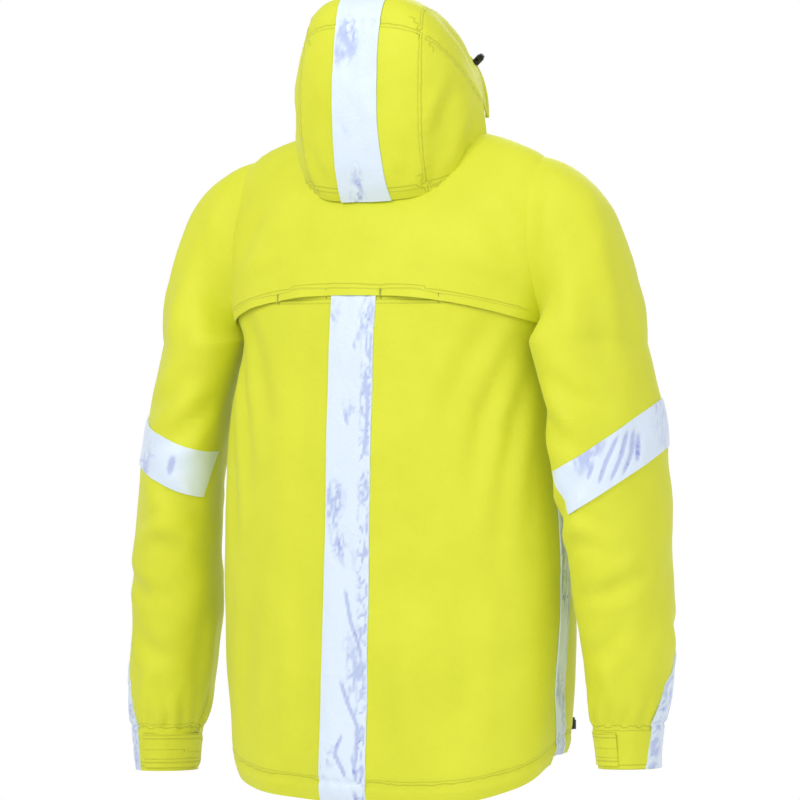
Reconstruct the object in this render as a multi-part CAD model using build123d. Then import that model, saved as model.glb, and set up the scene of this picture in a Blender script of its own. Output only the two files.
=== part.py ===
"""A hooded foul weather jacket, as an assembly of sewn panels, tapes, zips and toggles.

Frame: +Z up, the wearer faces -Y, the wearer's left is +X, and the origin is the top of the hanger loop
inside the back of the neck.  Sizes are in millimetres.  While a piece is made, its heights are measured
up from the lowest point of the back hem, and export_node() moves it into the frame.
"""
from build123d import *
import math
import os

# ------------------------------------------------------------------ driving dimensions
SHELL = 3.0                # cloth, lining and seam tape together
COLLAR_WALL = 3.2          # two layers of shell cloth and a fleece face
SLEEVE_WALL = 2.5
TAPE_THICK = 1.0           # reflective tape
SEAM = 0.4                 # gap between two sewn panels
LAY_GAP = 0.5              # gap between a panel and what is sewn on it
TAPE_WIDTH = 63.0
SIDE_TAPE_WIDTH = 50.0
ELBOW_TAPE_WIDTH = 56.0
FULLNESS = 2.3             # exponent of the body's superellipse, 2 is an ellipse

LOOP_TOP = (0.0, 33.5, 858.0)   # the top of the hanger loop, above the hem

# body sections: height, half width, depth behind and in front of the side seam plane
BODY = [
    (-30, 217, 165, 164.4), (60, 227, 162, 158), (160, 236, 157, 150.9), (270, 240, 151, 143.1),
    (400, 236, 147, 134.0), (510, 227, 141, 126.2), (590, 209, 136, 120.5), (632, 226, 132, 117.5),
    (690, 237, 122, 113.8), (745, 240, 103, 109.9), (783, 236, 83, 95), (812, 225, 65, 76),
    (834, 206, 52, 62), (850, 172, 42, 48), (862, 128, 34, 37), (870, 96, 28, 29),
]
HEM_SIDE_RISE = 60.0       # the side and front hem above the back hem
HEM_BACK_DEPTH = 165.0
YOKE_HEIGHT = 645.0        # back yoke seam and vent
CHEST_HEIGHT = 600.0       # front yoke seam
SHOULDER_SEAM_Y = -14.0
SIDE_SEAM_Y = 0.0
DOOR_SEAM_X = 188.0        # where each front panel meets its side panel, and folds open

# zip line: straight, from the front hem to the collar top
ZIP_LOW = (-158.0, 60.0)   # y and height
ZIP_HIGH = (-101.0, 872.0)
ZIP_GAP = 9.0              # half the width of the slot between the two front edges
ZIP_TAPE_REACH = 14.0
ZIP_TAPE_THICK = 1.0
TEETH_HALF_WIDTH = 3.2
TEETH_NEAR = 1.0           # half the way the slider's wedge runs in, between the two rows
TEETH_HALF_DEPTH = 1.4
ZIP_INSET = 1.2            # middle of the zip tape behind the cloth's inner face

# armhole and sleeve
ARMHOLE_X = 205.0
ARMPIT_HEIGHT = 590.0
# sleeve head: angle from upright, near and far reach from the armpit, and half depth
HEAD_SECTIONS = [(0.5, 7, 243, 66), (18, 8, 217, 73), (40, 10, 173, 82), (65, 13, 148, 90), (90, 16, 140, 92)]
# sleeve sections: height, centre x, centre y, two half widths and the turn of the section in degrees
SLEEVE = [
    (590, 283, 12, 62, 92, 20), (516, 300, 13, 57, 90, 22), (473, 306, 15, 56, 90, 22),
    (430, 311, 17, 55.5, 90, 21), (386, 316, 18, 55, 89, 20), (317, 321.5, 13, 57, 83, 13),
    (256, 325, 7, 58, 77, 8), (190, 330, 3, 55, 70, 3), (126, 334, -1, 50, 65, 0),
    (94, 335.5, -2, 44, 58, 0), (66, 336.5, -3, 42, 54, 0), (38, 337, -4, 42, 54, 0),
]
ELBOW_TOP, ELBOW_LOW = 473.0, 317.0
CUFF_TOP, CUFF_LOW = 94.0, 38.0

# hood: rings that fan out from one line across the neck; angle, reach and half width
HOOD_PIVOT_Y, HOOD_PIVOT_Z = -50.0, 859.0
HOOD = [(-31, 170, 127), (-12, 172, 126), (8, 180, 125), (22, 192, 124), (38, 216, 120),
        (48, 231, 114), (60, 208, 107), (75, 169, 100), (88, 143, 95), (100, 128, 92)]
HOOD_SEAM_ANGLE = 38.0     # the seam between nape and crown
HOOD_FULLNESS = 2.8
HOOD_CORNER = 82.0         # how far round its arch each ring runs, in degrees
HOOD_PANEL_TURN = 33.0     # the centre panel's edge on the arch, in degrees

NECK_LOW = (-33.0, 799.0, 91.0, 84.0, 32.4)     # centre y, height, half length, half width, tilt
NECK_HIGH = (-32.5, 888.5, 70.5, 74.0, 13.5)


# ------------------------------------------------------------------ placing and writing
def export_node(name, *shapes):
    """Write one node's solids, moved from hem heights into the frame."""
    solids = [s for shape in shapes for s in shape.solids()]
    moved = [s.moved(Location((-LOOP_TOP[0], -LOOP_TOP[1], -LOOP_TOP[2]))) for s in solids]
    export_step(Compound(children=moved) if len(moved) > 1 else moved[0], f"parts/{name}.step")


def mirrored(shape):
    return mirror(shape, about=Plane.YZ)


def both_sides(name, shape):
    """Write the left piece and its mirror image."""
    export_node(f"{name}_left", shape)
    export_node(f"{name}_right", mirrored(shape))


def block(x0, x1, y0, y1, z0, z1):
    return Pos((x0 + x1) / 2, (y0 + y1) / 2, (z0 + z1) / 2) * Box(x1 - x0, y1 - y0, z1 - z0)


def power(value, exponent):
    return math.copysign(abs(value) ** exponent, value)


def ring_wire(points):
    """A smooth closed curve through points."""
    return Wire([Edge.make_spline([Vector(*p) for p in points], periodic=True)])


def ring_of_halves(points):
    """The same in two halves that share their end tangents, for rings that lie at angles to each other."""
    around = [Vector(*p) for p in points]
    half = len(around) // 2
    ends = [(around[i + 1] - around[i - 1]).normalized() for i in (0, half)]
    return Wire([
        Edge.make_spline(around[:half + 1], tangents=ends),
        Edge.make_spline(around[half:] + around[:1], tangents=ends[::-1]),
    ])


# ------------------------------------------------------------------ body
def body_ring(section, grow):
    """One closed level curve of the body, grown outwards."""
    height, half, back, front = section
    points = []
    for i in range(32):
        t = 2 * math.pi * i / 32
        depth = back if math.sin(t) >= 0 else front
        points.append((
            (half + grow) * power(math.cos(t), 2 / FULLNESS),
            (depth + grow) * power(math.sin(t), 2 / FULLNESS),
            height,
        ))
    return ring_wire(points)


def body_solid(grow):
    """The body's outer form, grown by some millimetres; its top rises with it."""
    sections = [(z + (grow if z == BODY[-1][0] else 0), *rest) for z, *rest in BODY]
    return Solid.make_loft([body_ring(s, grow) for s in sections])


def below_hem():
    """What the curved hem cuts off: all that lies under its line, seen from the side."""
    back = (HEM_BACK_DEPTH + 5, 0)
    with BuildSketch(Plane.YZ) as profile:
        with BuildLine():
            Spline((-250, HEM_SIDE_RISE), (-60, HEM_SIDE_RISE + 2), (40, HEM_SIDE_RISE - 13),
                   (115, HEM_SIDE_RISE * 0.25), back, tangents=((1, 0), (1, -0.1)))
            Polyline(back, (250, 0), (250, -120), (-250, -120), (-250, HEM_SIDE_RISE))
        make_face()
    return extrude(profile.sketch, 600, both=True)


def zip_y(height):
    share = (height - ZIP_LOW[1]) / (ZIP_HIGH[1] - ZIP_LOW[1])
    return ZIP_LOW[0] + share * (ZIP_HIGH[0] - ZIP_LOW[0])


def neck_points(row, grow):
    y, z, length, width, tilt = row
    lean = math.radians(tilt)
    points = []
    for i in range(24):
        t = 2 * math.pi * i / 24
        along = (length + grow) * power(math.sin(t), 2 / FULLNESS)
        points.append(((width + grow) * power(math.cos(t), 2 / FULLNESS),
                       y + along * math.cos(lean), z + along * math.sin(lean)))
    return points


def neck_ring(share, grow):
    """A tilted ring of the collar, at a share of its height."""
    pairs = zip(neck_points(NECK_LOW, grow), neck_points(NECK_HIGH, grow))
    return ring_wire([tuple(a + share * (b - a) for a, b in zip(p, q)) for p, q in pairs])


def neck_solid(low, high, grow):
    return Solid.make_loft([neck_ring(low, grow), neck_ring(high, grow)], ruled=True)


def make_body():
    outer, inner = body_solid(0), body_solid(-SHELL)
    room = block(-300, 300, -300, 300, -200, BODY[-1][0] - SHELL)
    shell = outer - (inner & room) - below_hem() - neck_solid(-0.6, 1.4, SEAM)
    for side in (-1, 1):
        far = side * (ARMHOLE_X + 100)
        near = side * ARMHOLE_X
        shell -= block(min(near, far), max(near, far), -200, 200, ARMPIT_HEIGHT, 900)
    wide = 300
    back = shell & block(-wide, wide, SIDE_SEAM_Y + SEAM / 2, wide, -50, YOKE_HEIGHT - SEAM / 2)
    yoke = shell & (
        block(-wide, wide, SIDE_SEAM_Y + SEAM / 2, wide, YOKE_HEIGHT + SEAM / 2, 900)
        + block(-wide, wide, SHOULDER_SEAM_Y, SIDE_SEAM_Y + SEAM, 700, 900)
    )
    front = shell & block(ZIP_GAP, wide, -wide, SIDE_SEAM_Y - SEAM / 2, -50, CHEST_HEIGHT - SEAM / 2)
    chest = shell & (
        block(ZIP_GAP, wide, -wide, SHOULDER_SEAM_Y - SEAM, CHEST_HEIGHT + SEAM / 2, 900)
        + block(ZIP_GAP, wide, SHOULDER_SEAM_Y - SEAM, SIDE_SEAM_Y - SEAM / 2, CHEST_HEIGHT + SEAM / 2, 699.6)
    )
    door = front & block(ZIP_GAP, DOOR_SEAM_X - SEAM / 2, -wide, 0, -50, 700)
    side = front & block(DOOR_SEAM_X + SEAM / 2, wide, -wide, 0, -50, 700)
    export_node("back_panel", back)
    export_node("back_yoke", yoke)
    both_sides("front_yoke", chest)
    both_sides("front_panel", door)
    both_sides("side_panel", side)


def body_layer(where, inner, outer):
    """The part of a layer around the body that lies inside a block."""
    return (body_solid(outer) & where) - body_solid(inner)


def make_body_tapes():
    half = TAPE_WIDTH / 2
    back = block(-half, half, 20, 300, -50, YOKE_HEIGHT - 2)
    side = block(100, 300, -SIDE_TAPE_WIDTH / 3, SIDE_TAPE_WIDTH * 2 / 3, -50, ARMPIT_HEIGHT - 30)
    export_node("back_tape", body_layer(back, LAY_GAP, LAY_GAP + TAPE_THICK) - below_hem())
    both_sides("side_tape", body_layer(side, LAY_GAP, LAY_GAP + TAPE_THICK) - below_hem())


def make_lining():
    """The mesh lining of the back, sewn in at the yoke and the hem facing."""
    gap = SHELL + LAY_GAP
    kept = block(-190, 190, 30, 300, HEM_SIDE_RISE + 10, 760)
    export_node("back_lining", body_layer(kept, -gap - 1, -gap))


def make_collar():
    ring = neck_solid(0, 1, 0) - neck_solid(-0.1, 1.1, -COLLAR_WALL)
    export_node("collar", ring - block(-ZIP_GAP, ZIP_GAP, -200, -20, 600, 950))


def make_hanger_loop():
    """A cord loop whose two ends are sewn to the inside of the collar's back."""
    cord, span, drop = 1.6, 34.0, 30.0
    top, y = LOOP_TOP[2] - cord, LOOP_TOP[1]
    path = FilletPolyline((-span, y, top - drop), (-span, y, top), (span, y, top), (span, y, top - drop),
                          radius=12)
    loop = sweep(Plane(path @ 0, z_dir=path % 0) * Circle(cord), path=path)
    export_node("hanger_loop", loop)


def make_bar_tacks():
    """Four dense stitches that hold the vent's flap shut."""
    tacks = []
    for x in (-116, -38, 40, 116):
        near = block(x - 1.2, x + 1.2, 30, 300, YOKE_HEIGHT - 1, YOKE_HEIGHT + 11)
        tacks.append(body_layer(near, LAY_GAP, LAY_GAP + 0.9))
    export_node("vent_bar_tacks", *tacks)


# ------------------------------------------------------------------ hood
def between(table, key):
    """The row of a table at a key, by straight interpolation."""
    for a, b in zip(table, table[1:]):
        if a[0] <= key <= b[0]:
            share = (key - a[0]) / (b[0] - a[0])
            return [p + share * (q - p) for p, q in zip(a, b)]
    raise ValueError(f"{key} is outside the table")


def hood_point(angle, turn, grow):
    _, reach, half = between(HOOD, angle)
    lean, t = math.radians(angle), math.radians(turn)
    out = (reach + grow) * abs(math.cos(t)) ** (2 / HOOD_FULLNESS)
    return (
        (half + grow) * power(math.sin(t), 2 / HOOD_FULLNESS),
        HOOD_PIVOT_Y + out * math.cos(lean),
        HOOD_PIVOT_Z + out * math.sin(lean),
    )


def hood_panel(angles, turn0, turn1, near=0.0, thick=-SHELL):
    """A curved panel of the hood between two turns of its arch, from one surface to another."""
    wires = []
    for angle in angles:
        turns = [turn0 + (turn1 - turn0) * i / 8 for i in range(9)]
        outer = [Vector(*hood_point(angle, t, near)) for t in turns]
        inner = [Vector(*hood_point(angle, t, near + thick)) for t in reversed(turns)]
        wires.append(Wire([Edge.make_spline(outer), Edge.make_line(outer[-1], inner[0]),
                           Edge.make_spline(inner), Edge.make_line(inner[-1], outer[0])]))
    return Solid.make_loft(wires)


def make_hood():
    clear = body_solid(1.0)
    neck = neck_solid(-0.6, 1.4, 1.0)
    nape_angles = (-31, -12, 8, 22, HOOD_SEAM_ANGLE - 0.15)
    crown_angles = (HOOD_SEAM_ANGLE + 0.15, 48, 60, 75, 88, 100)
    seam = 0.2
    spans = {"centre": (-HOOD_PANEL_TURN + seam, HOOD_PANEL_TURN - seam),
             "left": (HOOD_PANEL_TURN + seam, HOOD_CORNER),
             "right": (-HOOD_CORNER, -HOOD_PANEL_TURN - seam)}
    napes = []
    for name, (a, b) in spans.items():
        export_node(f"hood_crown_{name}", hood_panel(crown_angles, a, b))
        napes.append(hood_panel(nape_angles, a, b) - clear - neck)
    export_node("hood_nape", *napes)
    turn = math.degrees(math.asin((TAPE_WIDTH / 2 / 120) ** (HOOD_FULLNESS / 2)))
    for name, angles in (("nape", nape_angles), ("crown", crown_angles)):
        export_node(f"hood_tape_{name}", hood_panel(angles, -turn, turn, LAY_GAP, TAPE_THICK) - clear)


# ------------------------------------------------------------------ sleeves
def sleeve_ring(section, grow):
    height, cx, cy, narrow, wide, turn = section
    lean = math.radians(turn)
    points = []
    for i in range(24):
        t = 2 * math.pi * i / 24
        across, along = (narrow + grow) * math.cos(t), (wide + grow) * math.sin(t)
        points.append((cx + across * math.cos(lean) - along * math.sin(lean),
                       cy + across * math.sin(lean) + along * math.cos(lean), height))
    return ring_wire(points)


def sleeve_solid(low, high, grow):
    """The left sleeve's outer form between two heights, always cut from the same whole sleeve."""
    whole = Solid.make_loft([sleeve_ring(s, grow) for s in SLEEVE])
    return whole & block(150, 500, -200, 200, low, high)


def sleeve_tube(low, high):
    return sleeve_solid(low, high, 0) - sleeve_solid(low - 1, high + 1, -SLEEVE_WALL)


def head_ring(section, grow):
    """A ring of the sleeve head, in a plane that turns about the armpit."""
    angle, near, far, half = section
    lean = math.radians(angle)
    centre, radius = (far + near) / 2, (far - near) / 2
    shift, turn = 12 * math.sin(lean), math.radians(SLEEVE[0][5] * math.sin(lean))
    points = []
    for i in range(24):
        t = 2 * math.pi * i / 24
        u, v = (radius + grow) * math.cos(t), (half + grow) * math.sin(t)
        along = centre + u * math.cos(turn) - v * math.sin(turn)
        across = shift + u * math.sin(turn) + v * math.cos(turn)
        points.append((ARMHOLE_X + along * math.sin(lean), across,
                       ARMPIT_HEIGHT + SEAM + along * math.cos(lean)))
    return ring_of_halves(points)


def sleeve_layer(low, high):
    """A thin layer just outside the sleeve, to cut tapes from."""
    return sleeve_solid(low, high, LAY_GAP + TAPE_THICK) - sleeve_solid(low, high, LAY_GAP)


def make_sleeves():
    head = (Solid.make_loft([head_ring(s, 0) for s in HEAD_SECTIONS])
            - Solid.make_loft([head_ring(s, -SLEEVE_WALL) for s in HEAD_SECTIONS]))
    both_sides("sleeve_head", head)
    both_sides("sleeve_upper", sleeve_tube(ELBOW_TOP + SEAM, ARMPIT_HEIGHT - SEAM))
    both_sides("sleeve_elbow", sleeve_tube(ELBOW_LOW + SEAM, ELBOW_TOP - SEAM))
    both_sides("sleeve_lower", sleeve_tube(CUFF_TOP + SEAM, ELBOW_LOW - SEAM))
    both_sides("sleeve_cuff", sleeve_tube(CUFF_LOW, CUFF_TOP - SEAM))


def make_sleeve_tapes():
    # the elbow tape rises towards the outside and the front of the sleeve
    rise_out, rise_front = 0.57, 0.32
    normal = Vector(-rise_out, rise_front, 1).normalized()
    slab = Plane(origin=(272, 95, 394), z_dir=normal) * Box(700, 700, ELBOW_TAPE_WIDTH)
    layer = sleeve_layer(340, 560)
    gap = block(150, 268, -60, 140, 300, 600)
    both_sides("elbow_tape", (layer & slab) - gap)
    strip = block(335, 450, -75, 4, CUFF_LOW, 205)
    both_sides("cuff_tape", sleeve_layer(CUFF_LOW, 230) & strip)


CUFF_TAB_LOW, CUFF_TAB_HIGH = 43.0, 86.0
CUFF_TAB_GAP, CUFF_TAB_THICK = 0.8, 2.4


def make_cuff_tab():
    """A hook and loop tab that wraps the back of the cuff; it is sewn down at its outer end."""
    low, high = CUFF_TAB_LOW - 3, CUFF_TAB_HIGH + 3
    layer = (sleeve_solid(low, high, CUFF_TAB_GAP + CUFF_TAB_THICK) - sleeve_solid(low, high, CUFF_TAB_GAP))
    wrap = block(280, 344, -8, 100, CUFF_TAB_LOW, CUFF_TAB_HIGH)
    both_sides("cuff_tab", layer & wrap)


# ------------------------------------------------------------------ zips
def zip_bar(x0, x1, inset, half_depth, low, high):
    """A straight bar along the zip line."""
    corners = []
    for height in (low, high):
        y = zip_y(height) + SHELL + inset
        corners.append([Vector(x0, y - half_depth, height), Vector(x1, y - half_depth, height),
                        Vector(x1, y + half_depth, height), Vector(x0, y + half_depth, height)])
    return Solid.make_loft([Wire.make_polygon(c, close=True) for c in corners], ruled=True)


def make_zip_chains():
    spans = {"lower": (ZIP_LOW[1] + 12, CHEST_HEIGHT - SEAM / 2),
             "upper": (CHEST_HEIGHT + SEAM / 2, ZIP_HIGH[1] - 6)}
    for name, (low, high) in spans.items():
        tape = zip_bar(TEETH_HALF_WIDTH + 0.02, ZIP_TAPE_REACH, ZIP_INSET, ZIP_TAPE_THICK / 2, low, high)
        teeth = zip_bar(TEETH_NEAR, TEETH_HALF_WIDTH, ZIP_INSET, TEETH_HALF_DEPTH, low, high)
        export_node(f"zip_chain_{name}_left", tape, teeth)
        export_node(f"zip_chain_{name}_right", mirrored(tape), mirrored(teeth))


SLIDER_WIDE, SLIDER_TALL, SLIDER_PLATE, SLIDER_INSIDE = 12.0, 15.0, 1.4, 1.9
SLIDER_WEDGE = 1.5


def slider(wide, tall, inside):
    """A zip slider about its own middle: two plates joined by a wedge, and a bridge for the puller."""
    plate = Box(wide, SLIDER_PLATE, tall)
    offset = inside + SLIDER_PLATE / 2
    body = Pos(0, -offset, 0) * plate + Pos(0, offset, 0) * plate
    body += Pos(0, 0, tall / 2 - 2) * Box(SLIDER_WEDGE, 2 * offset, 4)
    front = -offset - SLIDER_PLATE / 2
    bridge = Pos(0, front - 1.6, 2.5) * (Box(2.4, 3.2, 8) - Pos(0, 0.6, 0) * Box(3, 2.0, 3.6))
    return body + bridge


PULLER_THICK = 1.2


def puller(front, length):
    """A puller that hangs from the slider's bridge; its eye goes round the bridge's top bar."""
    y, top = front - 1.0, 3.4
    with BuildPart() as made:
        with BuildSketch(Plane.XZ.offset(-y)):
            with Locations((0, top - length / 2)):
                RectangleRounded(7.0, length, 2.6)
            with Locations((0, top - 4.2)):
                RectangleRounded(3.4, 5.6, 1.2, mode=Mode.SUBTRACT)
        extrude(amount=PULLER_THICK / 2, both=True)
    return made.part


TOP_SLIDER_HEIGHT, LOW_SLIDER_HEIGHT = 852.0, 84.0
ZIP_LEAN = math.degrees(math.atan2(ZIP_HIGH[0] - ZIP_LOW[0], ZIP_HIGH[1] - ZIP_LOW[1]))


def on_zip(height):
    """The place and lean of a slider on the main zip."""
    return Pos(0, zip_y(height) + SHELL + ZIP_INSET, height) * Rot(-ZIP_LEAN, 0, 0)


def make_main_sliders():
    front = -(SLIDER_INSIDE + SLIDER_PLATE)
    body = slider(SLIDER_WIDE, SLIDER_TALL, SLIDER_INSIDE)
    tag = puller(front, 34)
    export_node("zip_slider_top", on_zip(TOP_SLIDER_HEIGHT) * body)
    export_node("zip_puller_top", on_zip(TOP_SLIDER_HEIGHT) * tag)
    # the lower slider is the same piece turned end for end, so its puller starts below its wedge
    turned = on_zip(LOW_SLIDER_HEIGHT) * mirror(body, about=Plane.XY)
    export_node("zip_slider_low", turned)
    export_node("zip_puller_low", on_zip(LOW_SLIDER_HEIGHT) * Pos(0, 0, -5.0) * puller(front, 22))


# pockets: a vertical zip in each front panel, and a bag behind it
POCKET_X, POCKET_LOW, POCKET_HIGH, POCKET_TURN = 128.0, 180.0, 350.0, 17.0


def front_y(x, height):
    """The outer face of the front at a place."""
    _, half, _, depth = between(BODY, height)
    return -depth * (1 - (x / half) ** FULLNESS) ** (1 / FULLNESS)


def on_pocket(height):
    """A frame on the pocket zip: its -Y looks out of the cloth."""
    low, high = front_y(POCKET_X, POCKET_LOW), front_y(POCKET_X, POCKET_HIGH)
    lean = math.degrees(math.atan2(high - low, POCKET_HIGH - POCKET_LOW))
    share = (height - POCKET_LOW) / (POCKET_HIGH - POCKET_LOW)
    return Pos(POCKET_X, low + share * (high - low), height) * Rot(-lean, 0, 0) * Rot(0, 0, POCKET_TURN)


def make_pockets():
    length = POCKET_HIGH - POCKET_LOW
    middle = on_pocket((POCKET_LOW + POCKET_HIGH) / 2)
    chain = Pos(0, -2.2, 0) * Box(5.0, 1.6, length - 8) + Pos(0, -1.15, 0) * Box(20, 0.5, length + 6)
    both_sides("pocket_zip", middle * chain)
    small = Pos(0, -3.9, 0) * Box(8, 1.2, 10) + Pos(0, -5.9, 1.5) * (
        Box(2.0, 2.8, 6) - Pos(0, 0.5, 0) * Box(3, 1.8, 3))
    top = on_pocket(POCKET_HIGH - 14)
    both_sides("pocket_slider", top * small)
    with BuildPart() as tag:
        with BuildSketch(Plane.XZ.offset(5.4)):
            with Locations((0, -11.5)):
                RectangleRounded(6.0, 28, 2.2)
            with Locations((0, -0.1)):
                RectangleRounded(3.0, 4.2, 1.2, mode=Mode.SUBTRACT)
        extrude(amount=0.5, both=True)
    both_sides("pocket_puller", top * tag.part)
    # the bag: two layers with a gap for a hand, open towards the side seam
    deep, tall, room, cloth = 118.0, 190.0, 8.0, 1.2
    bag = Box(deep, room + 2 * cloth, tall) - Pos(cloth, 0, 0) * Box(deep, room, tall - 2 * cloth)
    place = middle * Pos(-32.7, 16.4, -6) * Rot(0, 0, -5.8)
    both_sides("pocket_bag", place * bag)


# ------------------------------------------------------------------ toggles
BUTTON_TRAVEL = 3.0


def toggle():
    """A cord lock about its own middle: a barrel with a cord hole, and its spring button above it."""
    barrel = Cylinder(5.0, 12.0) - Pos(0, 0, 2.2) * Cylinder(3.7, 8.0)
    barrel -= Rot(90, 0, 0) * Cylinder(1.7, 12)
    button = Pos(0, 0, 7.0) * Cylinder(3.5, 4.6)
    button = fillet(button.edges().group_by(Axis.Z)[-1], 0.8)
    return barrel, button


def make_toggles():
    hood_place = Pos(*hood_point(94, 52, 7.4)) * Rot(0, 48, 0)
    hem_x = 205.0
    hem_place = Pos(hem_x, front_y(hem_x, 96) - 7.5, 96)
    for name, place in (("hood", hood_place), ("hem", hem_place)):
        barrel, button = (place * shape for shape in toggle())
        export_node(f"{name}_toggles", barrel, mirrored(barrel))
        both_sides(f"{name}_button", button)


def main():
    os.makedirs("parts", exist_ok=True)
    make_body()
    make_body_tapes()
    make_lining()
    make_collar()
    make_hanger_loop()
    make_bar_tacks()
    make_hood()
    make_sleeves()
    make_sleeve_tapes()
    make_cuff_tab()
    make_zip_chains()
    make_main_sliders()
    make_pockets()
    make_toggles()


main()
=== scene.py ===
import math

import bmesh
import bpy
import numpy as np
from bpy.props import FloatProperty, FloatVectorProperty, PointerProperty
from bpy.types import Operator, Panel, PropertyGroup
from mathutils import Matrix, Vector, noise


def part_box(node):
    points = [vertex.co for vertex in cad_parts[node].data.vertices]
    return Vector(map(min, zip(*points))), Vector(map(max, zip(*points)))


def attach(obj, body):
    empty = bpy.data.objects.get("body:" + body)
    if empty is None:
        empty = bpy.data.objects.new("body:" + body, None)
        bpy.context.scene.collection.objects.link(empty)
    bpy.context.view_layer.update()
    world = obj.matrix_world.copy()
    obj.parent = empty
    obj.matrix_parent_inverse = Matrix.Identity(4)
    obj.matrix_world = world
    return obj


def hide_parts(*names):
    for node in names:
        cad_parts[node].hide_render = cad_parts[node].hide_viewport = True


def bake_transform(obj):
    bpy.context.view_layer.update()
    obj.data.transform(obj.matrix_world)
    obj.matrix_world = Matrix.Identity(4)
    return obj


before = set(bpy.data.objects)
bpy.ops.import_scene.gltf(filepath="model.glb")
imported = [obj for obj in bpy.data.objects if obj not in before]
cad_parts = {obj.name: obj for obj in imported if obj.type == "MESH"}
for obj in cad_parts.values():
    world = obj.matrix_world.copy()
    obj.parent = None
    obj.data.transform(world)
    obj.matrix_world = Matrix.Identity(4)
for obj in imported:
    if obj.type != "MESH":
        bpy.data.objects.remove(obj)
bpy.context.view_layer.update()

bl_info = {
    "name": "Foul weather jacket",
    "version": (1, 0, 0),
    "blender": (4, 5, 0),
    "location": "View3D > Sidebar > Jacket",
    "description": "Builds the cloth, tapes and trims of a hooded foul weather jacket around its model",
    "category": "Object",
}

MM = 0.001
# The tables below measure from the middle of the side seams' plane, at the height of the lowest point of the back
# hem. The frame's origin is the top of the hanger loop: this far behind that plane, and this far above that hem.
ORIGIN = np.array((0.0, 33.5, -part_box("back_panel")[0].z / MM))
SIDES = (("left", 1), ("right", -1))


def place(points):
    """Millimetres in the tables' place, to metres in the frame."""
    return (np.asarray(points, float) - ORIGIN) * MM


def spot(x, y, z):
    return Vector(place((x, y, z)))


# ---------------------------------------------------------------- the cut of the jacket
# body: height, half width, depth behind and in front of the side seam
BODY = np.array([
    (-60, 213, 167, 167), (-30, 217, 165, 164.4), (60, 227, 162, 158), (160, 236, 157, 150.9),
    (270, 240, 151, 143.1), (400, 236, 147, 134.0), (510, 227, 141, 126.2), (590, 213, 136, 120.5),
    (632, 226, 132, 117.5), (690, 237, 122, 113.8), (745, 240, 103, 109.9), (783, 236, 83, 95),
    (812, 224, 65, 76), (834, 199, 52, 62), (850, 162, 42, 48), (862, 120, 34, 37), (870, 92, 28, 29)])
FULLNESS = 2.3
# sleeve: height, centre, two half widths, turn of the section
SLEEVE = np.array([
    (38, 337, -4, 38, 48, 0), (66, 336.5, -3, 40, 51, 0), (94, 335.5, -2, 43, 56, 0),
    (126, 334, -1, 50, 65, 0), (190, 330, 3, 55, 70, 3), (256, 325, 7, 58, 77, 8),
    (317, 321.5, 13, 57, 83, 13), (386, 316, 18, 55, 89, 20), (430, 311, 17, 55.5, 90, 21),
    (473, 306, 15, 56, 90, 22), (516, 298, 13, 54.5, 90, 22), (590, 278, 12, 57, 92, 20)], float)
# sleeve head: angle from upright about the armpit, near and far reach, half depth
HEAD = np.array([
    (0, 7, 240, 64), (9, 7, 231, 67), (17, 8, 219, 69), (27, 8, 201, 72), (34, 9, 184, 75),
    (45, 10, 162, 80), (58, 12, 145, 85), (75, 14, 134, 90), (90, 16, 130, 92)], float)
ARMHOLE_X, ARMPIT_Z = 205.0, 590.0
# hood: angle about a line across the neck, reach, half width, and how square its arch is
HOOD = np.array([
    (-31, 170, 127, 2.8), (-12, 172, 127, 3.0), (8, 180, 127, 3.2), (22, 192, 126, 3.3),
    (38, 216, 122, 3.3), (48, 231, 117, 3.1), (60, 208, 110, 2.8), (75, 169, 105, 2.5),
    (88, 143, 103, 2.4), (100, 128, 101, 2.4)], float)
HOOD_Y, HOOD_Z = -50.0, 859.0
HOOD_SEAM_TURN = 33         # degrees round the hood from its middle to the seam beside the tape
# collar's lower and upper rings: y and height of the middle, half length, half width, tilt in degrees
NECK_LOW = (-33.0, 799.0, 91.0, 84.0, 32.4)
NECK_HIGH = (-32.5, 888.5, 70.5, 74.0, 13.5)
SHOULDER_Z = 869.0          # the top row of the body's cloth
YOKE_SEAM_Z, CHEST_Z = 645.0, 600.0
YOKE_EDGE_Z, YOKE_DROP, YOKE_HALF = 650.0, 27.0, 205.0
YOKE_TOP_Z = 868.0
TACKS = (-116.0, -38.0, 40.0, 116.0)    # places across the back where the yoke's edge is tacked down
DOOR_X = 188.0              # the seam between the front and the side
POCKET_X, POCKET_LOW, POCKET_HIGH, POCKET_TURN = 128.0, 180.0, 350.0, 17.0
ZIP_EDGE = 9.0              # from the middle of the zip to the cloth's edge
FRONT_HEM_Z = 58.0
FRONT_COLUMNS, FRONT_ROWS = 31, 92
TUCK = 22.0                 # how far a front panel runs on under the cloth it is sewn to
SUNK = 3.0                  # and how deep it lies there
ZIP_LOW, ZIP_HIGH = (-158.0, 60.0), (-101.0, 872.0)     # the zip's line: depth and height of both ends
ZIP_INSET = 4.2
CUFF_SEAM_Z = 96.0
SLEEVE_JOIN_Z = 490.0       # the two lengths of a sleeve meet here
HEM_CHANNEL = 26.0
SNAP = 3.4                  # half the cloth's mesh: how far a cut's points are moved to make it straight


def spow(value, exponent):
    return np.sign(value) * np.abs(value) ** exponent


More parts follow.
